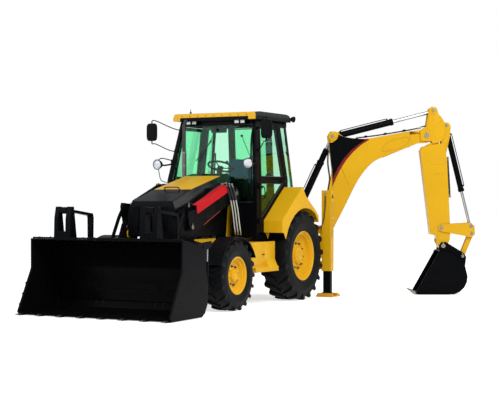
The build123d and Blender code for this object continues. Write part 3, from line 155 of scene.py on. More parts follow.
for name, spot, aim, size, watts in (
        ("key_lamp", (9.0, 9.0, 10.0), (0.5, 0, 1.0), 6.0, 1300),
        ("fill_lamp", (10.0, -7.0, 5.0), (0.5, 0, 1.2), 6.0, 260),
        ("rim_lamp", (-9.0, 5.0, 8.0), (-1.0, 0.5, 1.2), 5.0, 500)):
    lamp_data = bpy.data.lights.new(name, "AREA")
    lamp_data.size, lamp_data.energy = size, watts
    lamp = stand(name, lamp_data)
    lamp.location = spot
    lamp.rotation_euler = (Vector(aim) - Vector(spot)).to_track_quat("-Z", "Y").to_euler()
scene.view_settings.view_transform = "Standard"


# ---- finishes that many pieces share ----
# Weather is one group: slow colour change, dust that gathers low on the machine, bare rubbed
# edges, and a fine height for the paint's orange peel. Each finish below sets its own values.
def new_group(name, inputs, outputs, kind="ShaderNodeTree"):
    """An empty node group, with its named sockets and the kind of each."""
    group = bpy.data.node_groups.new(name, kind)
    for way, sockets in (("INPUT", inputs), ("OUTPUT", outputs)):
        for label, sort in sockets.items():
            group.interface.new_socket(label, in_out=way, socket_type="NodeSocket" + sort)
    return group, group.nodes.new("NodeGroupInput").outputs, group.nodes.new("NodeGroupOutput")


def calc(tree, operation, a, b=0.0, clamp=False):
    return add(tree, "ShaderNodeMath", (a, b), operation=operation, use_clamp=clamp).outputs[0]


def blend_colour(tree, factor, a, b, kind="MIX"):
    return add(tree, "ShaderNodeMix", {0: factor, 6: a, 7: b}, data_type="RGBA",
               blend_type=kind).outputs[2]


def noise(tree, spot, scale, detail=3.0, rough=0.55):
    return add(tree, "ShaderNodeTexNoise", {
        "Vector": spot, "Scale": scale, "Detail": detail, "Roughness": rough}).outputs["Fac"]


def ramp(tree, value, low, high, to_low=0.0, to_high=1.0):
    return add(tree, "ShaderNodeMapRange", {
        "Value": value, "From Min": low, "From Max": high, "To Min": to_low,
        "To Max": to_high}).outputs["Result"]


weather, given, made = new_group(
    "weather",
    {"Base": "Color", "Dust Colour": "Color", "Dust": "Float", "Rub Colour": "Color",
     "Rub": "Float", "Roughness": "Float", "Peel": "Float"},
    {"Color": "Color", "Roughness": "Float", "Height": "Float"})
spot = add(weather, "ShaderNodeTexCoord").outputs["Object"]
slow, patch = noise(weather, spot, 2.3, 4.0), noise(weather, spot, 17.0, 6.0, 0.62)
fleck, peel = noise(weather, spot, 95.0, 3.0, 0.6), noise(weather, spot, 420.0, 2.0)
height_z = add(weather, "ShaderNodeSeparateXYZ", (spot,)).outputs["Z"]
low_down = ramp(weather, height_z, 1.9, 0.1)
facing = add(weather, "ShaderNodeNewGeometry").outputs["Normal"]
upward = add(weather, "ShaderNodeSeparateXYZ", (facing,)).outputs["Z"]
ledge = calc(weather, "MULTIPLY", ramp(weather, upward, 0.35, 0.95), 0.5)
settle = calc(weather, "MULTIPLY", calc(weather, "ADD", low_down, ledge),
              ramp(weather, patch, 0.38, 0.74))
dust = calc(weather, "MULTIPLY", settle, given["Dust"], True)
round_off = add(weather, "ShaderNodeBevel", {"Radius": 0.009}, samples=4)
turn = add(weather, "ShaderNodeVectorMath", (round_off, facing), operation="DOT_PRODUCT")
edge = ramp(weather, turn.outputs["Value"], 0.985, 0.90)
rubbed = calc(weather, "MULTIPLY", edge, ramp(weather, fleck, 0.50, 0.60))
bare = calc(weather, "MULTIPLY", rubbed, given["Rub"], True)
shade = ramp(weather, ramp(weather, slow, 0.2, 0.8), 0.0, 1.0, 0.92, 1.06)
tinted = blend_colour(weather, 1.0, given["Base"], shade, "MULTIPLY")
dusty = blend_colour(weather, dust, tinted, given["Dust Colour"])
streak = calc(weather, "MULTIPLY", calc(weather, "SUBTRACT", patch, 0.5), 0.22)
duller = calc(weather, "ADD", given["Roughness"], streak)
bumps = calc(weather, "MULTIPLY", peel, given["Peel"])
feed(weather, made, {
    "Color": blend_colour(weather, bare, dusty, given["Rub Colour"]),
    "Roughness": calc(weather, "ADD", duller, calc(weather, "MULTIPLY", dust, 0.4), True),
    "Height": calc(weather, "ADD", bumps, calc(weather, "MULTIPLY", dust, 0.25))})


def surfaced(tree, height, strength, distance, inputs):
    """Ends a material: a principled surface with a bump under it."""
    relief = add(tree, "ShaderNodeBump", {
        "Strength": strength, "Distance": distance, "Height": height})
    shell = add(tree, "ShaderNodeBsdfPrincipled", {"Normal": relief, **inputs})
    add(tree, "ShaderNodeOutputMaterial", (shell,))


RUBBED_PRIMER, DRY_EARTH = (0.10, 0.095, 0.09, 1), (0.33, 0.27, 0.19, 1)
RUBBED_BLACK = (0.07, 0.066, 0.062, 1)
PEEL_DEPTH = 0.002


def painted(name, base, rough=0.32, coat=0.5, dust=0.25, rub=0.5, peel_by=0.12, metal=0.0,
            rub_colour=RUBBED_PRIMER, dust_colour=DRY_EARTH, bump=0.12, shine=0.5):
    """A coated or bare surface that carries the weather group."""
    material = bpy.data.materials.new(name)
    tree = emptied(material)
    worn = add(tree, "ShaderNodeGroup", {
        "Base": (*base, 1), "Dust Colour": dust_colour, "Dust": dust, "Rub Colour": rub_colour,
        "Rub": rub, "Roughness": rough, "Peel": peel_by}, node_tree=weather).outputs
    surfaced(tree, worn["Height"], bump, PEEL_DEPTH, {
        "Metallic": metal, "Specular IOR Level": shine, "Coat Weight": coat,
        "Coat Roughness": 0.12, "Base Color": worn["Color"], "Roughness": worn["Roughness"]})
    return material


yellow = painted("yellow_paint", (0.80, 0.43, 0.006), 0.30, 0.12, 0.08, 0.4, shine=0.12)
black = painted("black_paint", (0.0026, 0.0030, 0.0040), 0.24, 0.0, 0.012, 0.12,
                rub_colour=RUBBED_BLACK, shine=0.035)
plastic = painted(
    "dark_plastic", (0.005, 0.0055, 0.006), 0.50, 0.0, 0.03, 0.0, 0.5, bump=0.35, shine=0.05)
iron = painted("cast_iron", (0.035, 0.033, 0.031), 0.58, 0.0, 0.35, 0.3, 0.7, bump=0.4)
steel = painted("worn_steel", (0.30, 0.285, 0.265), 0.38, 0.0, 0.25, 0.0, 0.35, 1.0, bump=0.3)
chrome = painted("rod_chrome", (0.50, 0.52, 0.55), 0.14, 0.0, 0.02, 0.0, 0.0, 1.0)


def new_piece(name, bm, material, body, stands_for=(), smooth=35.0, mend=True):
    """Ends a mesh: doubles merged, faces outwards, sharp edges kept, then onto its body."""
    if mend:
        bmesh.ops.remove_doubles(bm, verts=bm.verts, dist=1e-5)
        bmesh.ops.recalc_face_normals(bm, faces=bm.faces)
    mesh = bpy.data.meshes.new(name)
    bm.to_mesh(mesh)
    bm.free()
    for face in mesh.polygons:
        face.use_smooth = True
    mesh.set_sharp_from_angle(angle=math.radians(smooth))
    for one in material if isinstance(material, list) else [material]:
        mesh.materials.append(one)
    piece = stand(name, mesh)
    if body:
        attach(piece, body)
    if stands_for:
        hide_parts(*stands_for)
    return piece


# ---- tyres and rims ----
# Industrial tyres: a moulded casing with bulged walls and two rows of slanted bar lugs that
# meet at the middle. Pressed steel rims, painted yellow, with a dished disc, a hub cover and
# a ring of nuts. Wheels turn about a cross axis, so each is made about its own centre.
def copies_tree():
    """Repeats what it is given, each copy a step further along and round the Y axis."""
    tree, given, made = new_group(
        "copies", {"Geometry": "Geometry", "Count": "Int", "Offset": "Vector", "Step": "Float",
                   "Start": "Float", "Finish": "Material"},
        {"Geometry": "Geometry"}, "GeometryNodeTree")
    line = add(tree, "GeometryNodeMeshLine", {"Count": given["Count"], "Offset": given["Offset"]})
    index = add(tree, "GeometryNodeInputIndex")
    angle = add(tree, "ShaderNodeMath", (index, given["Step"], given["Start"]),
                operation="MULTIPLY_ADD")
    turn = add(tree, "ShaderNodeCombineXYZ", {"Y": angle})
    spread = add(tree, "GeometryNodeInstanceOnPoints", {
        "Points": line, "Instance": given["Geometry"], "Rotation": turn})
    real = add(tree, "GeometryNodeRealizeInstances", (spread,))
    coat = add(tree, "GeometryNodeSetMaterial", {"Geometry": real, "Material": given["Finish"]})
    feed(tree, made, (coat,))
    return tree


COPIES = copies_tree()


def settled(thing):
    """The mesh of an object, as its modifiers leave it."""
    return bpy.data.meshes.new_from_object(
        thing.evaluated_get(bpy.context.evaluated_depsgraph_get()))


def copied(bm, **values):
    """A bmesh through the copies tree, brought back plain."""
    mesh = bpy.data.meshes.new("tmp")
    bm.to_mesh(mesh)
    bm.free()
    holder = stand("tmp", mesh)
    modifier = holder.modifiers.new("repeat", "NODES")
    modifier.node_group = COPIES
    for item in COPIES.interface.items_tree:
        if item.in_out == "INPUT" and item.name in values:
            modifier[item.identifier] = values[item.name]
    shown = settled(holder)
    back = bmesh.new()
    back.from_mesh(shown)
    bpy.data.objects.remove(holder)
    bpy.data.meshes.remove(shown)
    return back


def round_axle(bm, count, finish, start=0.0):
    """Copies all round the wheel's axle."""
    return copied(bm, Count=count, Step=2 * math.pi / count, Start=start, Finish=finish)


def gather(into, bm, material=0):
    """Moves a bmesh into another, with that material index."""
    for face in bm.faces:
        face.material_index = material
    mesh = bpy.data.meshes.new("tmp")
    bm.to_mesh(mesh)
    bm.free()
    into.from_mesh(mesh)
    bpy.data.meshes.remove(mesh)


def skinned(bm, rows):
    """Faces between rows of vertices, each row a closed outline, and a cap on both ends."""
    count = len(rows[0])
    for a, b in zip(rows, rows[1:]):
        for i in range(count):
            bm.faces.new((a[i], a[(i + 1) % count], b[(i + 1) % count], b[i]))
    bm.faces.new(rows[0])
    bm.faces.new(rows[-1][::-1])
    bmesh.ops.recalc_face_normals(bm, faces=bm.faces)
    return bm


def turned(profile, steps, close=False):
    """A profile of (radius, y) turned about the Y axis."""
    bm = bmesh.new()
    on_axis = 1e-6
    rings = []
    for k in range(steps):
        a = 2 * math.pi * k / steps
        rings.append([bm.verts.new((r * math.sin(a), y, r * math.cos(a))) if r > on_axis else None
                      for r, y in profile])
    poles = {i: bm.verts.new((0, y, 0)) for i, (r, y) in enumerate(profile) if r <= on_axis}
    count = len(profile)
    for k in range(steps):
        a, b = rings[k], rings[(k + 1) % steps]
        for i in range(count if close else count - 1):
            j = (i + 1) % count
            quad = []
            for v in (a[i] or poles[i], a[j] or poles[j], b[j] or poles.get(j),
                      b[i] or poles.get(i)):
                if v not in quad:
                    quad.append(v)
            if len(quad) > 2:
                bm.faces.new(quad)
    bmesh.ops.recalc_face_normals(bm, faces=bm.faces)
    return bm


MM = 0.001
rubber = painted("tyre_rubber", (0.0045, 0.005, 0.006), 0.50, 0.0, 0.05, 0.0, 0.8,
                 dust_colour=(0.10, 0.09, 0.07, 1), bump=0.35, shine=0.07)
NUT_RADIUS, NUTS_TURNED = 0.018, 0.2


def tyre_lug(radius, half, tall, wide, sweep, side, wall):
    """One bar lug from the middle to the shoulder, at the top of the wheel."""
    bm, rows = bmesh.new(), []
    for t in (0.0, 0.12, 0.35, 0.6, 0.82, 0.94, 1.0):
        y = side * half * (0.015 + 0.965 * t)
        back = -sweep * (t ** 0.85)
        top = radius - (0.0 if t < 0.8 else 0.006 * (t - 0.8) / 0.2)
        foot = radius - tall - 0.012 - (wall * max(0.0, t - 0.82) / 0.18)
        grow = 1.0 + 0.35 * t
        row = []
        for r, w in ((foot, wide * 0.74 * grow), (top - 0.004, wide * 0.52 * grow),
                     (top, wide * 0.44 * grow), (top, -wide * 0.44 * grow),
                     (top - 0.004, -wide * 0.52 * grow), (foot, -wide * 0.74 * grow)):
            a = (back + w) / radius
            row.append(bm.verts.new((r * math.sin(a), y, r * math.cos(a))))
        rows.append(row)
    return skinned(bm, rows)


def peg(sides, r1, r2, length, y, z):
    """A short pin that points out of the disc."""
    bm = bmesh.new()
    bmesh.ops.create_cone(
        bm, cap_ends=True, segments=sides, radius1=r1, radius2=r2, depth=length,
        matrix=Matrix.Translation((0, y, z)) @ Matrix.Rotation(-math.pi / 2, 4, "X"))
    return bm


def wheel(name, sizes, hub, side):
    radius, width, rim, lugs, tall, lug_w, nuts, hub_y = sizes
    spot = Matrix.Translation(hub) @ Matrix.Scale(side, 4, (0, 1, 0))

    def mount(piece, bm, finish, node, smooth):
        bmesh.ops.transform(bm, matrix=spot, verts=bm.verts)
        if side < 0:
            bmesh.ops.reverse_faces(bm, faces=bm.faces)
        new_piece(piece + name, bm, finish, "wheel_" + name, (node + name,), smooth, False)

    half = width / 2
    base = radius - tall
    wall = base - rim
    outer = [
        (rim + 0.001, half * 0.80), (rim + 0.014, half * 0.865), (rim + 0.030, half * 0.90),
        (rim + 0.036, half * 0.925), (rim + 0.046, half * 0.925),
        (rim + 0.32 * wall, half * 0.985), (rim + 0.50 * wall, half * 0.998),
        (rim + 0.53 * wall, half), (rim + 0.58 * wall, half), (rim + 0.61 * wall, half * 0.99),
        (rim + 0.80 * wall, half * 0.965), (rim + 0.93 * wall, half * 0.90),
        (base - 0.004, half * 0.78), (base, half * 0.42)]
    profile = outer + [(base + 0.002, 0.0)] + [(r, -y) for r, y in reversed(outer)]
    casing = turned(profile, 96, close=True)
    for way, start in ((1, 0.0), (-1, math.pi / lugs)):
        bar = tyre_lug(radius, half, tall, lug_w, half * 0.62, way, wall * 0.22)
        gather(casing, round_axle(bar, lugs, rubber, start))
    mount("casing_", casing, rubber, "tyre_", 32)

    h = half * 0.86
    dish = hub_y + 0.022
    profile = [(0.0, dish - 0.022), (rim * 0.42, dish - 0.022), (rim * 0.60, dish - 0.036),
               (rim * 0.78, dish - 0.022), (rim * 0.84, -h + 0.030), (rim - 0.010, -h + 0.004),
               (rim + 0.008, -h - 0.006), (rim + 0.011, -h - 0.002), (rim - 0.001, -h + 0.010),
               (rim - 0.002, -h + 0.03), (rim - 0.02, 0), (rim - 0.002, h - 0.03),
               (rim - 0.001, h - 0.010), (rim + 0.011, h), (rim + 0.012, h + 0.005),
               (rim + 0.006, h + 0.008), (rim - 0.006, h + 0.004), (rim - 0.014, h - 0.010),
               (rim - 0.018, h - 0.034), (rim - 0.040, h - 0.040), (rim - 0.044, dish + 0.034),
               (rim - 0.052, dish + 0.018), (rim * 0.78, dish + 0.010),
               (rim * 0.66, dish - 0.002), (rim * 0.52, dish), (rim * 0.45, dish + 0.014),
               (rim * 0.40, dish + 0.018), (rim * 0.36, dish + 0.020), (rim * 0.35, dish + 0.050),
               (rim * 0.335, dish + 0.060), (rim * 0.30, dish + 0.063),
               (rim * 0.13, dish + 0.064), (rim * 0.12, dish + 0.060), (0.0, dish + 0.060)]
    disc = turned(profile, 72)
    nut = peg(6, NUT_RADIUS, NUT_RADIUS, 0.022, dish + 0.012, rim * 0.53)
    gather(nut, peg(12, 0.010, 0.009, 0.04, dish + 0.018, rim * 0.53))
    gather(disc, round_axle(nut, nuts, iron, NUTS_TURNED), 1)
    gather(disc, round_axle(peg(6, 0.011, 0.010, 0.012, dish + 0.068, rim * 0.25), 8, yellow))
    mount("disc_", disc, [yellow, iron], "rim_", 30)


# tyre radius and width, rim radius, lugs in a row, their height and width, nuts, disc's place
FRONT_WHEEL = (0.490, 0.330, 0.252, 18, 0.026, 0.034, 8, 0.0291)
REAR_WHEEL = (0.680, 0.440, 0.367, 19, 0.034, 0.044, 10, 0.0461)
for name, side in (("left", 1), ("right", -1)):
    wheel("front_" + name, FRONT_WHEEL, at(2.2, side * 0.947, 0.490), side)
for name, side in (("left", 1), ("right", -1)):
    wheel("rear_" + name, REAR_WHEEL, at(0, side * 0.855, 0.680), side)


# ---- welded plates, castings and panels ----
# Most of the machine is cut plate, castings and pressed panels. Each is taken from its drawn
# part: facets joined, sharp edges rounded by a few millimetres, and its finish laid on by place.
KINGPOST, SWING = Vector((-1300.0, 439.0, 0.0)), math.radians(117)


def place(x, y, z):
    """A drawing point in millimetres."""
    return at(x * MM, y * MM, z * MM)


def hoe(x, y, z):
    """A point of the hoe's own side view in millimetres: x out from the kingpost."""
    c, s = math.cos(SWING), math.sin(SWING)
    return place(KINGPOST.x + x * c - y * s, KINGPOST.y + x * s + y * c, z)


def drawn(p):
    """Drawing millimetres of a frame point."""
    return (Vector(p) - AXLE) / MM


def hoe_drawn(p):
    q = drawn(p) - KINGPOST
    c, s = math.cos(SWING), math.sin(SWING)
    return Vector((q.x * c + q.y * s, q.y * c - q.x * s, q.z))


def corners(bm):
    spots = np.array([v.co for v in bm.verts])
    return spots.min(axis=0), spots.max(axis=0)


def rounded(bm, width):
    """Rounds the sharp edges; where a corner can't take the width, a smaller one is tried."""
    least, most, stray = math.radians(28), math.radians(160), 2e-4
    lowest, highest = corners(bm)
    for share in (1.0, 0.6, 0.35, 0.2):
        trial = bm.copy()
        picked = [e for e in trial.edges
                  if len(e.link_faces) == 2 and e.calc_length() > 1.3 * width * share
                  and least < e.calc_face_angle(0.0) < most]
        if picked:
            bmesh.ops.bevel(trial, geom=picked, offset=width * share, segments=2,
                            profile=0.6, affect="EDGES", clamp_overlap=False, material=-1)
        bottom, top = corners(trial)
        if (bottom > lowest - stray).all() and (top < highest + stray).all():
            bm.free()
            return trial
        trial.free()
    return bm


def level_normals(piece):
    """Leans the shading of rounded edges onto the flat faces beside them."""
    piece.modifiers.new("level", "WEIGHTED_NORMAL").keep_sharp = True
    mesh, old = settled(piece), piece.data
    piece.modifiers.clear()
    piece.data = mesh
    name = old.name
    bpy.data.meshes.remove(old)
    mesh.name = name


def skin(node, body, finish, width, pick=None, where=drawn):
    """A drawn part, rounded by so many mm; pick gives each face's finish from where it is."""
    bm = bmesh.new()
    bm.from_mesh(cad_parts[node].data)
    bmesh.ops.remove_doubles(bm, verts=bm.verts, dist=2e-5)
    bmesh.ops.dissolve_limit(bm, angle_limit=math.radians(0.5), verts=bm.verts, edges=bm.edges)
    if pick:
        for face in bm.faces:
            face.material_index = pick(where(face.calc_center_median()))
    if width:
        bm = rounded(bm, width * MM)
    level_normals(new_piece(node + "_body", bm, finish, body, (node,)))


engine_iron = painted("engine_iron", (0.020, 0.020, 0.021), 0.5, 0.0, 0.4, 0.2, 0.7, bump=0.35)
red = painted("red_paint", (0.55, 0.0015, 0.008), 0.30, 0.05, 0.02, 0.2, shine=0.08)
orange = painted("orange_paint", (0.80, 0.36, 0.02), 0.36, 0.1, 0.08, 0.4, shine=0.15)
bucket_black = painted("bucket_black", (0.0022, 0.0024, 0.0032), 0.26, 0.0, 0.006, 0.15,
                       rub_colour=RUBBED_BLACK, shine=0.03)
skin("main_frame", "chassis", [yellow, black], 3,
     lambda p: int(p.z > 1240 and 1080 < p.x < 1400 or abs(p.y) < 296 and p.x > 1300))
skin("engine", "chassis", engine_iron, 6)
skin("exhaust", "chassis", engine_iron, 1)
skin("cab_roof", "chassis", [yellow, plastic], 12, lambda p: int(p.x < 640))
skin("hood", "hood", [black, yellow], 10,
     lambda p: int(1283 < p.x < 2160 and abs(p.y) < 182 and p.z > 1650))
for side in ("left", "right"):
    skin("knuckle_" + side, "knuckle_" + side, [black, yellow], 3,
         lambda p: int(math.hypot(p.x - 2200, p.z - 490) < 200 and abs(p.y) < 900))
    skin("stabilizer_" + side, "stabilizer_" + side, [black, orange], 3,
         lambda p: int(p.z < 75 and not (-835 < p.x < -750 and 1020 < abs(p.y) < 1172)))
skin("safety_brace", "tilt_barrels", red, 2)
skin("bucket_back", "bucket_back", bucket_black, 4)
skin("bucket_clam", "bucket_clam", [bucket_black, steel], 3,
     lambda p: int(p.x > 4152))
skin("hoe_bucket", "hoe_bucket", [bucket_black, steel], 3,
     lambda p: int(p.x < 1812), hoe_drawn)

# parts of one finish: the rounding of their edges, and the body when it isn't the part's own
for slot, finish, width, body, nodes in (
        ("yellow_paint", yellow, 4, "chassis", ("rear_frame", "axles")),
        ("yellow_paint", yellow, 6, "chassis", ("rear_fenders", "side_boxes")),
        ("yellow_paint", yellow, 4, None, (
            "shift_carriage", "swing_post", "bucket_lever", "bucket_link")),
        ("yellow_paint", yellow, 5, None, ("stick_head", "stick_outer")),
        ("yellow_paint", yellow, 6, None, ("boom",)),
        ("black_paint", black, 5, "chassis", ("cab_shell",)),
        ("black_paint", black, 5, None, ("lift_arms",)),
        ("black_paint", black, 4, None, (
            "door_left", "door_right", "fork_left", "fork_right", "tilt_levers", "tilt_links")),
        ("black_paint", black, 3, None, (
            "lift_barrels", "tilt_barrels", "boom_barrel", "stick_barrel", "curl_barrel")),
        ("black_paint", black, 2, None, ("clam_barrels",))):
    for node in nodes:
        skin(node, body or node, finish, width)

# chromed rods, each with a black eye within a radius of its pin, in the side view
for node, width, x, z, radius, where in (
        ("lift_rods", 2, 2470, 950, 52, drawn), ("tilt_rods", 2, 2430, 1440, 48, drawn),
        ("clam_rods", 1, 3190, 970, 40, drawn), ("boom_rod", 2, 460, 2571, 56, hoe_drawn),
        ("stick_rod", 2, 2103, 2988, 56, hoe_drawn), ("curl_rod", 2, 2720, 1108, 50, hoe_drawn)):
    skin(node, node, [chrome, black], width,
         lambda p: int(math.hypot(p.x - x, p.z - z) < radius), where)


# ---- glass ----
# Tinted safety glass in every opening: thin green panes that lie in the black frames, with
# a soft reflection that grows towards a glancing view.
glass = bpy.data.materials.new("cab_glass")
tree = emptied(glass)
clear = add(tree, "ShaderNodeBsdfTransparent", {"Color": (0.67, 0.955, 0.80, 1)})
sheen = add(tree, "ShaderNodeBsdfGlossy", {"Color": (0.85, 0.95, 0.92, 1), "Roughness": 0.02})
glancing = add(tree, "ShaderNodeFresnel", {"IOR": 1.5})
mix = add(tree, "ShaderNodeMixShader", (calc(tree, "MULTIPLY", glancing, 0.22), clear, sheen))
add(tree, "ShaderNodeOutputMaterial", (mix,))
skin("cab_glass", "chassis", glass, 0)
for side in ("left", "right"):
    skin("door_glass_" + side, "door_" + side, glass, 0)


# ---- driver's seat ----
# A suspension seat in blue cloth: a deep seat cushion and a tall back cushion, foam under a
# sewn cover, in black plastic shells with two armrests, on a bellows box bolted to the floor.
def slab(outline, low, high, width=0.0, put=place):
    """A plate: a side-view outline in mm carried from low to high across, edges rounded."""
    bm = bmesh.new()
    rows = [[bm.verts.new(put(x, y, z)) for x, z in outline] for y in sorted((low, high))]
    skinned(bm, rows)
    return rounded(bm, width * MM) if width else bm


def block(x0, x1, y0, y1, z0, z1, width=0.0):
    """A squared part between corners in drawing millimetres, its edges rounded by the width."""
    return slab([(x0, z0), (x1, z0), (x1, z1), (x0, z1)], y0, y1, width)


def pipe(points, radius, put=place, order=3, sides=3):
    """A round tube along the smooth line that its points steer; the radius is in mm."""
    curve = bpy.data.curves.new("tmp", "CURVE")
    curve.dimensions = "3D"
    spline = curve.splines.new("NURBS")
    spline.points.add(len(points) - 1)
    for p, q in zip(spline.points, points):
        p.co = (*put(*q), 1)
    spline.order_u, spline.use_endpoint_u, spline.resolution_u = order, True, 6
    curve.bevel_depth, curve.bevel_resolution, curve.use_fill_caps = radius * MM, sides, True
    holder = stand("tmp", curve)
    mesh = settled(holder)
    bm = bmesh.new()
    bm.from_mesh(mesh)
    bpy.data.objects.remove(holder)
    bpy.data.curves.remove(curve)
    bpy.data.meshes.remove(mesh)
    return bm


def lathe(profile, centre, way, steps=24, close=False):
    """A profile of (radius, height) in mm turned about a line from the centre."""
    bm = turned([(r * MM, h * MM) for r, h in profile], steps, close)
    facing = Vector((0, 1, 0)).rotation_difference(Vector(way)).to_matrix().to_4x4()
    bmesh.ops.transform(bm, matrix=Matrix.Translation(centre) @ facing, verts=bm.verts)
    return bm


def pieces(*parts):
    """Several bmeshes as one; a part may be (bmesh, material index)."""
    into = bmesh.new()
    for part in parts:
        gather(into, *(part if isinstance(part, tuple) else (part, 0)))
    return into


cloth = bpy.data.materials.new("seat_cloth")
tree = emptied(cloth)
spot = add(tree, "ShaderNodeTexCoord").outputs["Object"]
threads = {"Vector": spot, "Scale": 260.0, "Distortion": 1.5}
weave = add(tree, "ShaderNodeTexWave", threads).outputs["Fac"]
cross = add(tree, "ShaderNodeTexWave", threads, bands_direction="Z").outputs["Fac"]
thread = calc(tree, "MULTIPLY", weave, cross)
hue = blend_colour(tree, ramp(tree, noise(tree, spot, 9.0, 5.0), 0.35, 0.7),
                   (0.003, 0.045, 0.22, 1), (0.006, 0.075, 0.32, 1))
surfaced(tree, thread, 0.5, 0.0015, {
    "Roughness": 0.85, "Sheen Weight": 0.15,
    "Base Color": blend_colour(
        tree, calc(tree, "MULTIPLY", thread, 0.4), hue, (0.002, 0.012, 0.05, 1))})
PUFF_STEPS, SEAM_HALF, SEAM_DEEP = 14, 0.007, 0.009


def cushion(name, centre, size, lean, swell, seams):
    """A stuffed form: a rounded block puffed up under its cover, with sewn channels after."""
    bm = bmesh.new()
    bmesh.ops.create_cube(bm, size=1.0)
    bmesh.ops.subdivide_edges(bm, edges=bm.edges, cuts=9, use_grid_fill=True)
    for v in bm.verts:
        u = [2 * c for c in v.co]
        pull = 1 - 0.10 * (sum(abs(c) ** 4 for c in u) - 1)
        v.co = Vector([c * s * 0.5 * pull for c, s in zip(u, size)])
    mesh = bpy.data.meshes.new(name)
    bm.to_mesh(mesh)
    bm.free()
    piece = stand(name, mesh)
    soften = piece.modifiers.new("soften", "SUBSURF")
    soften.levels = soften.render_levels = 1
    remesh = piece.modifiers.new("skin", "REMESH")
    remesh.mode, remesh.voxel_size = "VOXEL", 0.008
    cover = settled(piece)
    piece.modifiers.clear()
    piece.data = cover
    before = [v.co.copy() for v in cover.vertices]
    puff = piece.modifiers.new("puff", "CLOTH")
    puff.settings.use_pressure = True
    puff.settings.uniform_pressure_force = 4.0
    puff.settings.effector_weights.gravity = 0.0
    puff.point_cache.frame_end = PUFF_STEPS
    for step in range(1, PUFF_STEPS + 1):
        scene.frame_set(step)
    cover = settled(piece)
    piece.modifiers.clear()
    piece.data = cover
    scene.frame_set(1)
    for v, old in zip(cover.vertices, before):
        move = v.co - old
        if move.length > swell:
            v.co = old + move.normalized() * swell
    for v in cover.vertices:
        dip = sum(math.exp(-((v.co.x - seam) / SEAM_HALF) ** 2) for seam in seams)
        edge_fade = max(0.0, 1 - (abs(v.co.y) / (size[1] * 0.52)) ** 6)
        if v.co.z > 0:
            v.co.z -= SEAM_DEEP * dip * edge_fade * min(1.0, v.co.z / (size[2] * 0.3))
    cover.transform(Matrix.Translation(centre) @ Matrix.Rotation(lean, 4, "Y"))
    soften = piece.modifiers.new("soften", "SUBSURF")
    soften.levels = soften.render_levels = 1
    final = settled(piece)
    piece.modifiers.clear()
    piece.data = final
    for face in final.polygons:
        face.use_smooth = True
    final.materials.clear()
    final.materials.append(cloth)
    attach(piece, "chassis")
    return piece


seat_pad = cushion(
    "seat_cushion", place(350, 0, 1572), (0.46, 0.46, 0.11), -0.06, 0.014, (-0.10, 0.0, 0.10))
cushion("seat_back_cushion", place(72, 0, 1890), (0.60, 0.46, 0.10), 0.07 - math.pi / 2, 0.014,
        (-0.16, -0.05, 0.06, 0.17))
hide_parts("seat")
seat_frame = pieces(
    block(118, 588, -236, 236, 1484, 1512, 10),
    slab([(18, 1560), (52, 1560), (44, 2150), (8, 2150)], -214, 214, 12),
    *[slab([(90, 1690), (420, 1700), (440, 1720), (430, 1738), (90, 1736)], y, y + 52, 8)
      for y in (-292, 240)],
    *[slab([(60, 1560), (110, 1560), (104, 1700), (70, 1700)], y, y + 14, 4)
      for y in (-254, 240)],
    *[pipe([(20, y, 2080), (0, y, 2130), (10, y, 2185), (40, y, 2190)], 6) for y in (-90, 90)])
new_piece("seat_shells", seat_frame, plastic, "chassis")
bellows = bmesh.new()
for k in range(6):
    z = 1240 + 38 * k
    gather(bellows, slab([
        (170, z), (186, z + 4), (500, z + 4), (516, z), (516, z + 24), (500, z + 34),
        (186, z + 34), (170, z + 24)], -168, 168, 6))
new_piece("seat_bellows", bellows, plastic, "chassis")


# ---- driving controls ----
# A moulded console stands on the floor under the wheel with a hooded gauge panel. The wheel
# has a padded rim on three spokes; levers stand beside the seat, and pedals hang at the front.
RIM_RADIUS, RIM_THICK, RIM_SIDES = 196, 15, 10
rim_round = [2 * math.pi * k / RIM_SIDES for k in range(RIM_SIDES)]
rim_profile = [(RIM_RADIUS + RIM_THICK * math.cos(a), RIM_THICK * math.sin(a)) for a in rim_round]
WHEEL_MID, WHEEL_WAY = place(690, -20, 2052), Vector((-0.379, 0, 0.925)).normalized()
side_way = Vector((0, 1, 0))
fore_way = side_way.cross(WHEEL_WAY)
spokes = []
for k in range(3):
    a = math.radians(90 + 120 * k)
    reach = side_way * math.cos(a) + fore_way * math.sin(a)
    low_end = WHEEL_MID - WHEEL_WAY * 0.02
    pts = [low_end + reach * 0.02, low_end + reach * 0.08, WHEEL_MID + reach * 0.13,
           WHEEL_MID + reach * 0.175]
    spokes.append(pipe([tuple(drawn(p)) for p in pts], 8))
steering = pieces(
    lathe(rim_profile, WHEEL_MID, WHEEL_WAY, 48, True), *spokes,
    lathe(
        [(0, 0), (46, 0), (50, 8), (44, 26), (24, 34), (0, 35)], WHEEL_MID - WHEEL_WAY * 0.034,
        WHEEL_WAY),
    lathe(
        [(0, 0), (54, 0), (50, 160), (46, 340), (38, 440), (0, 440)],
        WHEEL_MID - WHEEL_WAY * 0.464, WHEEL_WAY),
    lathe(
        [(0, 0), (8, 0), (12, 12), (20, 30), (18, 46), (0, 52)],
        WHEEL_MID + side_way * 0.15 + fore_way * 0.09, WHEEL_WAY, 16),
    *[pipe([
        (746, s * 30 - 20, 1912), (738, s * 120 - 20, 1936),
        (730, s * 190 - 20, 1974)], 6) for s in (1, -1)])
new_piece("steering_wheel", steering, plastic, "chassis")
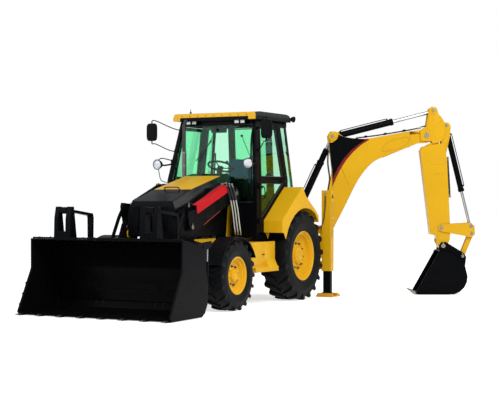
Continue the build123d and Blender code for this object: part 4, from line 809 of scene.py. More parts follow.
console = pieces(
    slab([
        (765, 1012), (960, 1012), (960, 1540), (948, 1572), (850, 1640), (815, 1625),
        (800, 1560)], -138, 138, 16),
    slab([(846, 1640), (948, 1570), (978, 1662), (900, 1782), (842, 1798)], -300, 300, 14),
    slab([
        (820, 1600), (960, 1560), (978, 1640), (936, 1850), (880, 1890),
        (800, 1860)], 150, 520, 18),
    slab([(700, 1012), (820, 1012), (830, 1620), (800, 1800), (720, 1790)], 330, 520, 20),
    block(860, 985, -420, -150, 1500, 1660, 14), block(280, 470, -560, -420, 1012, 1560, 20),
    *[lathe(
          [(0, 0), (9, 0), (8, 150), (14, 172), (22, 190), (24, 214), (16, 232), (0, 236)],
          place(x, y, 1560), Vector((0.12, 0, 1)), 16)
      for x, y in ((320, -480), (380, -500), (430, -470))],
    *[lathe(
        [(0, 0), (26, 0), (16, 40), (9, 60), (8, 230), (16, 246), (26, 268), (27, 300), (16, 322),
         (0, 325)],
        place(30, y, 1620), Vector((-0.06, 0, 1)), 16) for y in (-430, 430)],
    *[block(-40, 130, y - 70, y + 70, 1012, 1620, 18) for y in (-430, 430)],
    *[slab([
        (900, 1080), (985, 1190), (975, 1200),
        (888, 1092)], y, y + 80, 5) for y in (-330, -230, 160)])
new_piece("driving_console", console, plastic, "chassis", ("cab_controls",))
dial = painted("gauge_face", (0.55, 0.57, 0.56), 0.4, 0.4, 0.05, 0.0)
face_way = (Vector((-0.55, 0, 0.83))).normalized()
gauges = pieces(*[lathe([(0, 3), (r - 4, 3), (r - 2, 6), (r, 6), (r, 0), (0, 0)],
                        place(893, y, 1777), face_way, 28)
                  for y, r in ((-120, 34), (-36, 44), (58, 44), (140, 34))])
new_piece("gauges", gauges, dial, "chassis")
floor_mat_ribs = bmesh.new()
for k in range(14):
    gather(floor_mat_ribs, block(560 + 28 * k, 574 + 28 * k, -520, 520, 1011, 1017, 2))
gather(floor_mat_ribs, block(540, 985, -560, 560, 1010.5, 1013, 1))
new_piece("floor_mat", floor_mat_ribs, plastic, "chassis")


# ---- cab fittings ----
# Rubber seals frame every pane. Doors have a pull handle and a latch, tube rails run beside
# the posts, a wiper clears each screen, and a stub aerial stands on the roof over a bolted visor.
def row(bm, count, step, finish):
    """Copies in a line, each a step in millimetres further on."""
    return copied(bm, Count=count, Offset=tuple(c * MM for c in step), Finish=finish)


UP = Vector((0, 0, 1))


def bolt(point, way, r=11, h=8):
    """A hex head standing on a round washer."""
    return pieces(lathe([(0, 0), (r * 1.5, 0), (r * 1.5, 2.4), (0, 2.4)], point, way, 16),
                  lathe([(0, 0), (r, 0), (r, h * 0.75), (r * 0.86, h), (0, h)], point, way, 6))


def pane_seal(turns, wide):
    """A rubber bead round a pane with these corners, in drawing millimetres."""
    return pieces(*[pipe([p, q], wide, order=2, sides=1)
                    for p, q in zip(turns, turns[1:] + turns[:1])])


rubber_seal = painted("rubber_seal", (0.010, 0.010, 0.011), 0.6, 0.0, 0.2, 0.0, 0.4)
# above the belt line the side walls lean in and the windscreen leans back
BELT, HALF_CAB, SCREEN_FOOT = 1850.0, 775.0, 1018.0
PINCH = (HALF_CAB - 651.0) / (2740.0 - BELT)
RAKE = (SCREEN_FOOT - 819.0) / (2740.0 - BELT)


def wall(x, z, inset, side):
    """A point of the cab's side wall."""
    return (x, side * (HALF_CAB - inset - max(0.0, z - BELT) * PINCH), z)


for side, name in ((1, "left"), (-1, "right")):
    high = [(850, 1892), (706, 2618), (196, 2618), (160, 1892)]
    low = [(858, 1272), (858, 1786), (158, 1786)]
    seals = pieces(*[
        pane_seal([wall(x, z, 12, side) for x, z in outline], 7) for outline in (high, low)])
    new_piece("door_seal_" + name, seals, rubber_seal, "door_" + name)
    handle = pieces(
        pipe([wall(840, 1560, -4, side), wall(842, 1560, -42, side), wall(846, 1640, -46, side),
              wall(850, 1740, -42, side), wall(852, 1745, -4, side)], 8),
        block(140, 230, side * 778, side * 790, 1810, 1838, 4),
        pipe([wall(150, 1824, -14, side), wall(152, 1824, -40, side), wall(180, 1824, -46, side),
              wall(226, 1824, -40, side), wall(228, 1824, -14, side)], 7))
    new_piece("door_pull_" + name, handle, black, "door_" + name)
corner_seals = pieces(
    pane_seal([(998 - RAKE * max(0, z - BELT),
                y - PINCH * max(0, z - BELT) * math.copysign(1, y), z)
               for y, z in ((706, 1506), (-706, 1506), (-706, 2672), (706, 2672))], 9),
    pane_seal([(-308, 287, 1606), (-308, -287, 1606), (-216, -279, 2668), (-216, 279, 2668)], 9),
    *[pane_seal([wall(-16, 1606, 22, s), wall(-236, 1606, 22, s), wall(-182, 2660, 22, s),
                 wall(20, 2660, 22, s)], 8) for s in (1, -1)])
new_piece("cab_seals", corner_seals, rubber_seal, "chassis")
rails = pieces(*[pipe([(1012, s * 700, 1560), (1052, s * 700, 1580), (1050, s * 700, 1700),
                       (1040, s * 698, 1880), (954, s * 640, 2300), (880, s * 618, 2560),
                       (848, s * 622, 2590)], 13) for s in (1, -1)],
               *[pipe([(-250, s * 690, 1640), (-290, s * 708, 1660), (-292, s * 700, 1900),
                       (-262, s * 650, 2250), (-228, s * 636, 2290)], 12) for s in (1, -1)])
new_piece("grab_rails", rails, black, "chassis")
wiper = pieces(
    lathe(
        [(0, 0), (22, 0), (22, 18), (14, 26), (0, 27)], place(998 - RAKE * 760, 0, 2610),
        Vector((1, 0, 0.2))),
    pipe([(848, 0, 2604), (872, -20, 2560), (930, -150, 2300), (950, -190, 2210)], 5),
    pipe([(897, -60, 2440), (925, -160, 2310), (964, -300, 2130)], 7),
    lathe([(0, 0), (20, 0), (20, 16), (0, 18)], place(-220, -150, 2560), Vector((-1, 0, 0.1))),
    pipe([(-232, -150, 2560), (-262, -60, 2300), (-268, 20, 2180)], 5))
new_piece("wipers", wiper, plastic, "chassis")
aerial = pieces(lathe([
    (0, 0), (17, 0), (16, 10), (9, 24), (5, 34), (4, 66), (0, 68)], place(862, -452, 2862), UP))
new_piece("roof_aerial", aerial, plastic, "chassis")
mirror_in = pieces(block(760, 800, -130, 130, 2560, 2630, 14),
                   pipe([(775, 0, 2640), (790, 0, 2665), (788, 0, 2690)], 6))
new_piece("cabin_mirror", mirror_in, plastic, "chassis")
visor = pieces(
    block(925, 950, -590, 590, 2737, 2792, 6),
    *[lathe([(0, 0), (7, 0), (7, 5), (0, 6)], place(941, y, 2814), Vector((1, 0, 0)), 12)
      for y in range(-560, 561, 140)])
new_piece("visor_recess", visor, plastic, "chassis")


# ---- lamps ----
# Round driving lamps on bracket arms at the front posts, two pairs of square work lamps under
# the visor, and more at the rear: dark moulded housings with clear, fluted lenses clipped in.
lens = bpy.data.materials.new("lamp_lens")
tree = emptied(lens)
spot = add(tree, "ShaderNodeTexCoord").outputs["Object"]
flutes = add(tree, "ShaderNodeTexWave", {"Vector": spot, "Scale": 26.0},
             bands_direction="Y").outputs["Fac"]
surfaced(tree, flutes, 0.35, 0.003, {
    "Roughness": 0.10, "Metallic": 0.35, "Coat Weight": 1.0,
    "Base Color": blend_colour(tree, flutes, (0.80, 0.82, 0.84, 1), (0.52, 0.55, 0.60, 1))})
amber = painted("amber_lens", (0.85, 0.20, 0.01), 0.18, 1.0, 0.05, 0.0)
tail_red = painted("tail_lens", (0.45, 0.005, 0.006), 0.18, 1.0, 0.05, 0.0)
lamp_parts, lens_parts = bmesh.new(), bmesh.new()
for s in (1, -1):
    mid, ahead = place(1280, s * 776, 2076), Vector((1, s * 0.08, -0.05)).normalized()
    gather(lamp_parts, lathe([
        (0, -62), (30, -60), (52, -44), (66, -10), (73, 18), (78, 22), (78, 34), (72, 37),
        (70, 30), (0, 30)], mid, ahead, 32))
    gather(lens_parts, lathe([
        (0, 46), (30, 44), (54, 39), (69, 31), (66, 26), (0, 26)], mid, ahead, 32))
    gather(lamp_parts, pipe([(1234, s * 774, 2072), (1160, s * 764, 2064), (1060, s * 740, 2074),
                             (972, s * 718, 2088)], 13))
    gather(lamp_parts, pipe([(1262, s * 776, 2148), (1220, s * 776, 2178), (1090, s * 752, 2166),
                             (965, s * 716, 2140)], 8))
    gather(lamp_parts, block(944, 976, s * 700, s * 742, 2060, 2160, 5))
    gather(lamp_parts, pipe([(1272, s * 776, 2004), (1262, s * 776, 1960), (1240, s * 760, 1820),
                             (1180, s * 640, 1800), (1120, s * 560, 1800)], 6))
for y in (-470, -370, 370, 470):
    gather(lamp_parts, slab([
        (858, 2684), (898, 2684), (902, 2690), (902, 2756), (898, 2764),
        (858, 2768.7)], y - 42, y + 42, 6))
    gather(lens_parts, block(899, 903, y - 35, y + 35, 2694, 2752, 2))
new_piece("lamp_housings", lamp_parts, plastic, "chassis", ("lamps",))
new_piece("lamp_lenses", lens_parts, lens, "chassis")
rear_lamps, rear_lens = bmesh.new(), bmesh.new()
for s in (1, -1):
    gather(rear_lamps, pieces(
        block(-262, -222, s * 560, s * 640, 2752, 2830, 7),
        pipe([(-210, s * 660, 2800), (-240, s * 690, 2806), (-270, s * 722, 2800)], 9),
        lathe(
            [(0, -34), (30, -30), (44, 0), (47, 22), (42, 25), (0, 24)],
            place(-285, s * 728, 2800), Vector((-1, s * 0.7, -0.1)), 24)))
    gather(rear_lens, pieces(
        block(-266, -261, s * 566, s * 634, 2758, 2824, 1),
        lathe(
            [(0, 32), (24, 30), (41, 23), (0, 21)], place(-285, s * 728, 2800),
            Vector((-1, s * 0.7, -0.1)), 24)))
new_piece("rear_work_lamps", rear_lamps, plastic, "chassis")
new_piece("rear_lamp_lenses", rear_lens, lens, "chassis")
tails = pieces(*[(block(-492, -476, s * 960, s * 1060, 1200, 1272, 4), 0) for s in (1, -1)],
               *[(block(-498, -491, s * 964, s * 1012, 1206, 1266, 3), 1) for s in (1, -1)],
               *[(block(-498, -491, s * 1014, s * 1056, 1206, 1266, 3), 2) for s in (1, -1)])
new_piece("tail_lamps", tails, [plastic, tail_red, amber], "chassis")


# ---- mirrors ----
# Two tall mirrors: deep rounded plastic shells with a flat glass at the back, each held
# between an upper and a lower steel arm that run out from clamps on the front post.
mirror_glass = painted("mirror_glass", (0.80, 0.84, 0.86), 0.03, 0.0, 0.02, 0.0, 0.0, 1.0)
MIRROR_ON, MIRROR_Y, MIRROR_Z, SHELL_STEPS = 50.0, 990.0, 2578.0, 40


def mirror_shell(y):
    """A pillow-shaped shell: rounded rows from its flat back to its domed front."""
    bm, rows = bmesh.new(), []
    for x, grow in (
            (1060, 0.90), (1062, 0.97), (1074, 1.0), (1086, 0.95), (1094, 0.80), (1098, 0.5)):
        outline = []
        for k in range(SHELL_STEPS):
            a = 2 * math.pi * k / SHELL_STEPS
            c, s = math.cos(a), math.sin(a)
            w = 94 * math.copysign(abs(c) ** 0.42, c) * grow
            h = 136 * math.copysign(abs(s) ** 0.42, s) * (grow if x < 1090 else grow * 1.02)
            outline.append(bm.verts.new(place(x + MIRROR_ON, y + w, MIRROR_Z + h)))
        rows.append(outline)
    return skinned(bm, rows)


shells, glasses, stays = bmesh.new(), bmesh.new(), bmesh.new()
for s in (1, -1):
    y, x_stem = s * MIRROR_Y, 1073 + MIRROR_ON
    gather(shells, mirror_shell(y))
    gather(glasses, block(
        1056 + MIRROR_ON, 1061 + MIRROR_ON, y - 78, y + 78, MIRROR_Z - 120, MIRROR_Z + 120, 2))
    for z, zf in ((MIRROR_Z + 178, 2616), (MIRROR_Z - 178, 2286)):
        front = SCREEN_FOOT - RAKE * (zf - BELT)
        yf = wall(front, zf, -8, s)[1]
        gather(stays, pipe([
            (x_stem, y, MIRROR_Z + math.copysign(150, z - MIRROR_Z)), (x_stem, y, z - 6),
            (x_stem - 1, y - s * 20, z + 2), (x_stem - 22, y - s * 60, z),
            (front + 10, yf + s * 60, zf + 6), (front - 46, yf, zf)], 7.5))
        gather(stays, block(front - 62, front - 30, yf - s * 6, yf + s * 14, zf - 18, zf + 18, 4))
    gather(stays, lathe(
        [(0, 0), (9, 0), (9, 340), (0, 340)], place(x_stem, y, MIRROR_Z - 170), UP, 12))
new_piece("mirror_shells", shells, plastic, "chassis", ("mirrors",))
new_piece("mirror_glasses", glasses, mirror_glass, "chassis")
new_piece("mirror_arms", stays, black, "chassis")


# ---- hood fittings ----
# The hood is one black shell with a yellow top panel. A slatted grille guards the radiator,
# pressed louvres let air out of both sides, and rubber latches hold it down at the rear.
grille = pieces(
    row(slab([(2683, 1106), (2697, 1106), (2699, 1112), (2699, 1424), (2696, 1430), (2683, 1430)],
             -232, -218, 3), 14, (0, 34.6, 0), black),
    block(2684, 2696, -246, 246, 1092, 1106, 3), block(2684, 2696, -246, 246, 1428, 1438, 3),
    *[block(2684, 2697, s * 240 - 6, s * 240 + 6, 1094, 1436, 3) for s in (1, -1)],
    block(2684, 2698, -240, 240, 1262, 1272, 2))
new_piece("hood_grille", grille, black, "hood")
louvres = bmesh.new()
for s in (1, -1):
    for z in (1360, 1210):
        x, one = 1560, bmesh.new()
        y0, y1 = s * 394.0, s * 402.0
        pts = [(x, y0, z), (x + 26, y1, z + 4), (x + 30, y0, z + 2),
               (x + 6, y0, z + 112), (x + 32, y1, z + 108), (x + 36, y0, z + 110)]
        v = [one.verts.new(place(*p)) for p in pts]
        for f in ((0, 1, 4, 3), (1, 2, 5, 4), (0, 2, 1), (3, 4, 5), (0, 3, 5, 2)):
            one.faces.new([v[i] for i in f])
        bmesh.ops.recalc_face_normals(one, faces=one.faces)
        gather(louvres, row(one, 9, (64, 0, 0), black))
new_piece("hood_louvres", louvres, black, "hood")
bonnet = pieces(slab([
    (1292, 1892), (2146, 1691), (2148, 1694), (2146, 1696), (1292, 1897),
    (1289, 1895)], -168, 168, 1.2))
new_piece("hood_top_panel", bonnet, yellow, "hood")
latches = pieces(
    *[pieces(block(1180, 1225, s * 393, s * 404, 1080, 1150, 4),
             pipe([(1202, s * 402, 1080), (1202, s * 412, 1060), (1202, s * 402, 1040)], 6),
             block(1188, 1216, s * 393, s * 402, 1030, 1048, 3)) for s in (1, -1)],
    pipe([(2150, -120, 1690), (2162, -122, 1716), (2166, -90, 1722), (2166, 90, 1722),
          (2162, 122, 1716), (2150, 120, 1690)], 8))
new_piece("hood_latches", latches, plastic, "hood")


# ---- front frame and steps ----
# Bent and bolted yellow brackets brace the frame's nose on each side. The step boxes hold a
# battery and a tank, with bolted lids, punched treads, a filler cap and an air cleaner.
nose = bmesh.new()
for s in (1, -1):
    outer = [(2693, 1093), (2640, 1150), (2560, 1200), (2470, 1224), (2406, 1226)]
    inner = [
        (2406, 1196), (2470, 1188), (2545, 1150), (2600, 1090), (2616, 1022), (2650, 1010),
        (2690, 1020)]
    gather(nose, slab(outer + inner, s * 404, s * 416, 3))
    gather(nose, slab([
        (2400, 1015), (2460, 1015), (2470, 1215), (2404, 1222)], s * 400, s * 412, 3))
    for x, z in ((2436, 1202), (2436, 1040), (2660, 1060)):
        gather(nose, bolt(place(x, s * (416 if x > 2600 else 412), z), (0, s, 0)))
new_piece("nose_brackets", nose, yellow, "chassis")
steps = bmesh.new()
for s in (1, -1):
    tread = slab([(760, 925), (772, 925), (772, 931), (760, 931)], s * 600, s * 910, 2)
    gather(steps, row(tread, 12, (27, 0, 0), black))
    gather(steps, block(745, 1075, s * 590, s * 922, 923, 926.5, 1))
    teeth = slab([(742, 560), (752, 560), (752, 568), (747, 571), (742, 568)],
                 s * 936, s * 984, 1)
    gather(steps, row(teeth, 16, (20, 0, 0), black))
new_piece("step_treads", steps, black, "chassis")
box_bits = bmesh.new()
for s in (1, -1):
    gather(box_bits, slab([(745, 590), (1085, 590), (1085, 895), (745, 895)], s * 928, s * 934, 3))
    gather(box_bits, slab([
        (1110, 590), (1450, 590), (1450, 895), (1110, 895)], s * 928, s * 934, 3))
    for x in (765, 1065, 1130, 1430):
        for z in (610, 875):
            gather(box_bits, bolt(place(x, s * 934, z), (0, s, 0), 8, 6))
new_piece("step_box_lids", box_bits, yellow, "chassis")
caps = pieces(
    lathe([
        (0, 0), (52, 0), (52, 6), (44, 10), (44, 38), (38, 44),
        (0, 46)], place(1280, 720, 924), UP, 10),
    *[pipe([
        (1160, s * 932, 742), (1160, s * 948, 742), (1120, s * 950, 742), (1098, s * 948, 742),
        (1096, s * 932, 742)], 6) for s in (1, -1)],
    lathe([
        (0, 0), (60, 0), (64, 60), (64, 230), (58, 250),
        (0, 252)], place(1180, -760, 924), UP, 28))
new_piece("filler_and_cleaner", caps, plastic, "chassis")


# ---- engine bay fittings ----
# The engine is left bare below the hood: a cast block with a ribbed sump, two screwed-on
# filters, coolant pipes and a seven-bladed fan behind the radiator.
bay = pieces(
    *[block(1440, 2080, s * 214 - 3, s * 214 + 3, z, z + 14, 3) for s in (1, -1)
      for z in (880, 920, 960)],
    *[lathe(
        [(0, 0), (44, 0), (46, 10), (46, 120), (40, 132), (0, 134)],
        place(1700 + 130 * k, 300, 1010), Vector((0, 0, -1)), 20) for k in range(2)],
    *[pipe([
        (1520, s * 262, 1240), (1620, s * 290, 1300), (1900, s * 290, 1290),
        (1990, s * 250, 1200)], 16) for s in (1, -1)],
    pipe([(2000, 180, 1300), (2120, 230, 1350), (2250, 260, 1330), (2300, 260, 1300)], 26),
    pipe([(2000, -180, 1000), (2120, -230, 960), (2250, -260, 1000), (2300, -260, 1050)], 26))
new_piece("engine_fittings", bay, engine_iron, "chassis")
fan = bmesh.new()
for k in range(7):
    blade = slab([(2192, 60), (2222, 60), (2216, 192), (2186, 192)], -36, 20, 2,
                 lambda x, y, z: Vector((x * MM, y * MM, z * MM)))
    turn_by = Matrix.Translation(at(0, 0, 1.150)) @ Matrix.Rotation(2 * math.pi * k / 7, 4, "X")
    bmesh.ops.transform(blade, matrix=turn_by, verts=blade.verts)
    gather(fan, blade)
new_piece("fan_blades", fan, plastic, "chassis")


# ---- exhaust stack ----
# A heat guard of upright steel rods stands round the silencer, welded to three rings, with
# a flat seam strip down its right side.
rods = [(1052 + 34.5 * math.cos(a), -458 + 34.5 * math.sin(a))
        for a in [2 * math.pi * k / 18 for k in range(18)]]
guard = pieces(*[lathe([(0, 0), (36, 0), (36, 18), (0, 18)], place(1052, -458, z), UP, 24)
                 for z in (1830, 2050, 2250)],
               block(1050, 1054, -494, -488, 1850, 2240, 1),
               *[slab([(x - 2, 1846), (x + 2, 1846), (x + 2, 2250), (x - 2, 2250)], y - 2, y + 2)
                 for x, y in rods])
new_piece("stack_guard", guard, steel, "chassis")


# ---- loader fittings ----
# Pins are chromed steel with a bolted keeper plate and a grease nipple; the arms carry a black
# panel edged in red, with hoses that drop to the frame and lines clamped along the inside.
def pin_end(point, way, r):
    """The visible end of a pin: a domed head, a keeper plate and its bolt."""
    side_way = UP if abs(Vector(way).z) < 0.9 else Vector((1, 0, 0))
    return pieces(lathe([(0, 0), (r, 0), (r, 5), (r - 3, 8), (r * 0.35, 8), (r * 0.3, 6), (0, 6)],
                        point, way, 24),
                  lathe([(0, 6), (5, 6), (5, 13), (3, 15), (0, 16)], point, way, 8),
                  bolt(Vector(point) + side_way * (r + 13) * MM, way, 8, 6))


# end, y of the pin's outer face, radius
ARM_PINS = {
    "lift_arms": (((1220, 1640), 546, 40), ((1580, 1738), 618, 24), ((2520, 1160), 560, 30),
                  ((3080, 230), 558, 34)),
    "chassis": (((1185, 735), 540, 28),),
    "tilt_levers": (((2610, 1457), 552, 24),),
}
for body, ends in ARM_PINS.items():
    bits = pieces(*[pin_end(place(x, s * y, z), Vector((0, s, 0)), r * 0.94)
                    for (x, z), y, r in ends for s in (1, -1)])
    new_piece("pin_ends_" + body, bits, steel, body)

arm_panel = [
    (1600, 1398), (1700, 1352), (2080, 1196), (2110, 1196), (2050, 1330), (1960, 1438),
    (1660, 1538), (1570, 1560)]
panels, stripes = bmesh.new(), bmesh.new()
for s in (1, -1):
    gather(panels, slab(arm_panel, s * 500.4, s * 502))
    gather(stripes, slab([
        (1640, 1372), (1700, 1348), (2112, 1180), (2116, 1194), (1706, 1363),
        (1646, 1386)], s * 500.8, s * 503))
new_piece("arm_panels", panels, black, "lift_arms")
dark_red = painted("dark_red_paint", (0.22, 0.002, 0.004), 0.32, 0.2, 0.04, 0.2, shine=0.2)
new_piece("arm_stripes", stripes, dark_red, "lift_arms")

hose_black = painted("hose_black", (0.010, 0.010, 0.011), 0.45, 0.0, 0.15, 0.0, 0.6, bump=0.25)
hose_pale = painted("hose_pale", (0.62, 0.62, 0.54), 0.30, 0.4, 0.2, 0.0, 0.3)


def ferrules(points, radius, put):
    """Swaged ends where a hose meets its fittings."""
    out = []
    for a, b in ((points[0], points[1]), (points[-1], points[-2])):
        start, way = Vector(put(*a)), (Vector(put(*b)) - Vector(put(*a))).normalized()
        out.append(lathe([(0, -4), (radius * 1.7, -4), (radius * 1.7, 14), (radius * 1.35, 16),
                          (radius * 1.35, 48), (radius, 52), (0, 52)], start, way, 8))
    return out


def hose_run(name, lines, radius, body, finish, put=place):
    """A set of hoses on one body, with their end fittings."""
    bm = bmesh.new()
    for points in lines:
        gather(bm, pipe(points, radius, put))
        for end in ferrules(points, radius, put):
            gather(bm, end, 1)
    return new_piece(name, bm, [finish, steel], body)


def bend_at_arms(piece):
    """Bakes a piece's placement into its mesh; the piece is left on no body."""
    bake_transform(piece)


# the bundle that drops from the left arm to the frame
drops = []
for k in range(3):
    y = 604 + 40 * k
    drops.append([
        (1648 - 8 * k, y, 1790 - 10 * k), (1640 - 8 * k, y + 4, 1752),
        (1580 - 8 * k, y + 6, 1650), (1520 - 6 * k, y + 6, 1540), (1462 - 6 * k, y + 6, 1380),
        (1422 - 6 * k, y + 4, 1220), (1392 - 8 * k, y + 2, 1110), (1330 - 10 * k, y - 20, 1050),
        (1230 - 8 * k, y - 80, 1030)])
bend_at_arms(hose_run("arm_hose_drop_left", drops, 9.5, None, hose_pale))
sleeves = pieces(*[pipe(line[:4], 15) for line in drops])
bend_at_arms(new_piece("arm_hose_sleeves", sleeves, hose_black, None))
drops_r = [[(1600 - 10 * k, -(622 + 13 * k), 1700), (1500 - 8 * k, -(630 + 13 * k), 1560),
            (1420 - 4 * k, -(620 + 13 * k), 1340), (1380 - 3 * k, -(580 + 13 * k), 1160),
            (1366 - 3 * k, -(470 + 13 * k), 1020)] for k in range(2)]
bend_at_arms(hose_run("arm_hose_drop_right", drops_r, 9.5, None, hose_black))


TILT_FOOT, TILT_EYE = Vector((1580, 1738)), Vector((2430, 1440))


def along_tilt(s0, up, y):
    """A point by the tilt cylinder: so far along it, and above it."""
    dx, dz = (TILT_EYE - TILT_FOOT).normalized()
    return (TILT_FOOT.x + dx * s0 - dz * up, y, TILT_FOOT.y + dz * s0 + dx * up)


for s, name in ((1, "left"), (-1, "right")):
    lines = [[along_tilt(x, up, s * (582 - inset)) for x, up, inset in line] for line in (
        ((30, 46, 34), (60, 58, 40), (300, 56, 44), (560, 54, 40), (668, 40, 20)),
        ((20, 50, 20), (60, 50, 34), (90, 40, 30)))]
    hose_run("tilt_lines_" + name, lines, 8, "tilt_barrels", hose_black)
    lines = [[(x, s * 432, z) for x, z in line] for line in (
        ((1640, 1560), (1800, 1512), (2200, 1384), (2480, 1290), (2600, 1215), (2660, 1130)),
        ((1640, 1590), (1800, 1536), (2200, 1408), (2490, 1312), (2618, 1230), (2682, 1140)))]
    hose_run("arm_lines_" + name, lines, 8, "lift_arms", hose_black)
    bits = bmesh.new()
    for x, z in ((1760, 1528), (2180, 1396), (2660, 1140), (2860, 712)):
        gather(bits, block(x - 34, x + 34, s * 420, s * 440, z - 8, z + 16, 3))
    new_piece("line_clamps_" + name, bits, black, "lift_arms")


# ---- bucket wear parts ----
# Eight bolted tooth adapters and a row of edge bolts along the lip, a stiffening bead round
# each side plate with three bolts, and welded ribs across the back and the bolted top edge.
wear = bmesh.new()
edge_bolt = lathe([(0, 0), (17, 0), (16, 5), (10, 8), (0, 8)], place(4030, -1150, 31), UP, 12)
gather(wear, row(edge_bolt, 24, (0, 100, 0), bucket_black))
for i in range(8):
    y = -1143 + i * 2286 / 7
    gather(wear, slab([(4040, 24), (4052, 44), (4110, 47), (4168, 30), (4168, 22), (4100, 24)],
                      y - 40, y + 40, 4))
    for dx in (4066, 4098):
        gather(wear, bolt(place(dx, y, 44), (0.05, 0, 1), 9, 6))
for s in (1, -1):
    gather(wear, slab([
        (3390, 24), (4118, 24), (4152, 54), (3852, 626), (3852, 680), (3838, 680), (3838, 618),
        (4130, 62), (4108, 40), (3390, 40)], s * 1181, s * 1172, 2))
    for x, z in ((3960, 440), (4030, 300), (4100, 165)):
        gather(wear, bolt(place(x, s * 1203, z - 20), (0, s, 0), 12, 4))
new_piece("bucket_edge_parts", wear, bucket_black, "bucket_clam")
ribs = bmesh.new()
gather(ribs, slab([(3254, 168), (3262, 176), (3258, 330), (3248, 334)], -1160, 1160, 2))
gather(ribs, slab([(3480, 944), (3660, 994), (3662, 1004), (3478, 956)], -1165, 1165, 3))
gather(ribs, slab([
    (3780, 1022), (3862, 1022), (3866, 1026), (3866, 1040), (3858, 1044),
    (3786, 1040)], -1165, 1165, 4))
strip_bolt = lathe([(0, 0), (13, 0), (12, 4), (0, 6)], place(3822, -1080, 1043), UP, 6)
gather(ribs, row(strip_bolt, 13, (0, 180, 0), bucket_black))
new_piece("bucket_ribs", ribs, bucket_black, "bucket_back")


# ---- hoe fittings ----
# Pin bosses with keepers, a weld-on oval stiffener each side of the boom, the black side panel
# with its red edge, and steel lines with hoses clamped along the top of boom and stick.
def hoe_way(side):
    """Across the hoe, towards its left (+1) or right (-1)."""
    return (hoe(0, side, 0) - hoe(0, 0, 0)).normalized()


# end in the hoe's side view, half width over the pin, radius
HOE_PINS = {
    "boom": (((231, 646), 118, 38), ((2002, 2589), 124, 40), ((460, 2571), 124, 28)),
    "boom_barrel": (((-220, 1085), 118, 30),),
    "stick_head": (((2103, 2988), 119, 22),),
    "stick_outer": (((2267, 787), 160, 36),),
    "bucket_lever": (((2236, 1077), 152, 32), ((2720, 1108), 152, 30), ((2729, 983), 152, 26)),
    "hoe_bucket": (((2582, 618), 154, 26),),
    "curl_barrel": (((2321, 2753), 92, 22),),
}
for body, ends in HOE_PINS.items():
    bits = pieces(*[pin_end(hoe(x, s * half, z), hoe_way(s), r * 0.94)
                    for (x, z), half, r in ends for s in (1, -1)])
    new_piece("hoe_pin_ends_" + body, bits, steel, body)
for body, x, z, half, r, bore in (
        ("boom", 460, 2571, 124.2, 62, 40), ("stick_head", 2103, 2988, 119, 60, 32)):
    bits = pieces(*[lathe([(bore, 0), (r, 0), (r, 4), (r - 4, 7), (bore + 2, 7), (bore, 4)],
                          hoe(x, s * half, z), hoe_way(s), 32) for s in (1, -1)])
    new_piece("boss_rings_" + body, bits, yellow, body)

# the head's side plates sweep down from the rod pin to the top of the stick
cheeks = bmesh.new()
round_top = [(2103 + 74 * math.cos(a), 2988 + 74 * math.sin(a))
             for a in [math.radians(200 - 14 * k) for k in range(15)]]
for s in (1, -1):
    gather(cheeks, slab(
        [(2010, 2700), (2026, 2860)] + round_top + [
            (2196, 2936), (2250, 2876), (2290, 2800), (2300, 2720), (2292, 2620), (2262, 2530),
            (2206, 2478), (2100, 2458), (2066, 2520), (2070, 2620), (2040, 2680)],
        s * 112.5, s * 119, 2, hoe))
    for x, z in ((2150, 2540), (2230, 2560), (2120, 2840), (2220, 2820)):
        gather(cheeks, bolt(hoe(x, s * 119, z), hoe_way(s), 9, 5))
new_piece("stick_head_plates", cheeks, yellow, "stick_head")

panel = [
    (560, 2612), (640, 2572), (780, 2550), (960, 2536), (1000, 2520), (880, 2440), (760, 2345),
    (650, 2220), (560, 2080), (490, 1940), (458, 1860), (456, 2020), (436, 2200), (416, 2360),
    (404, 2470), (460, 2478), (524, 2520), (548, 2560)]
edge = [
    (960, 2536), (1040, 2536), (1062, 2524), (930, 2440), (806, 2330), (694, 2200), (600, 2055),
    (528, 1912), (470, 1775), (460, 1740), (458, 1860), (490, 1940), (560, 2080), (650, 2220),
    (760, 2345), (880, 2440), (1000, 2520)]
panels, stripes, ovals = bmesh.new(), bmesh.new(), bmesh.new()
for s in (1, -1):
    gather(panels, slab(panel, s * 110.4, s * 112, 0, hoe))
    gather(stripes, slab(edge, s * 110.4, s * 112, 0, hoe))
    line = []
    for k in range(40):
        c, d = math.cos(2 * math.pi * k / 40), math.sin(2 * math.pi * k / 40)
        line.append((1495 + 220 * math.copysign(abs(c) ** 0.75, c) + 14 * d, s * 111,
                     2448 + 84 * math.copysign(abs(d) ** 0.85, d) + 72 * c))
    gather(ovals, pipe(line + line[:2], 7, hoe, 3, 1))
new_piece("boom_panels", panels, black, "boom")
new_piece("boom_stripes", stripes, dark_red, "boom")
new_piece("boom_oval_beads", ovals, yellow, "boom")

# seams of the boom's welded box: a bead along each lower edge
seam = [(494, 1128), (690, 1513), (851, 1838), (1013, 2068), (1174, 2206), (1403, 2300),
        (1704, 2417)]
beads = pieces(*[pipe([(x, s * 108, z) for x, z in seam], 6, hoe, 3, 1) for s in (1, -1)])
new_piece("boom_weld_beads", beads, yellow, "boom")

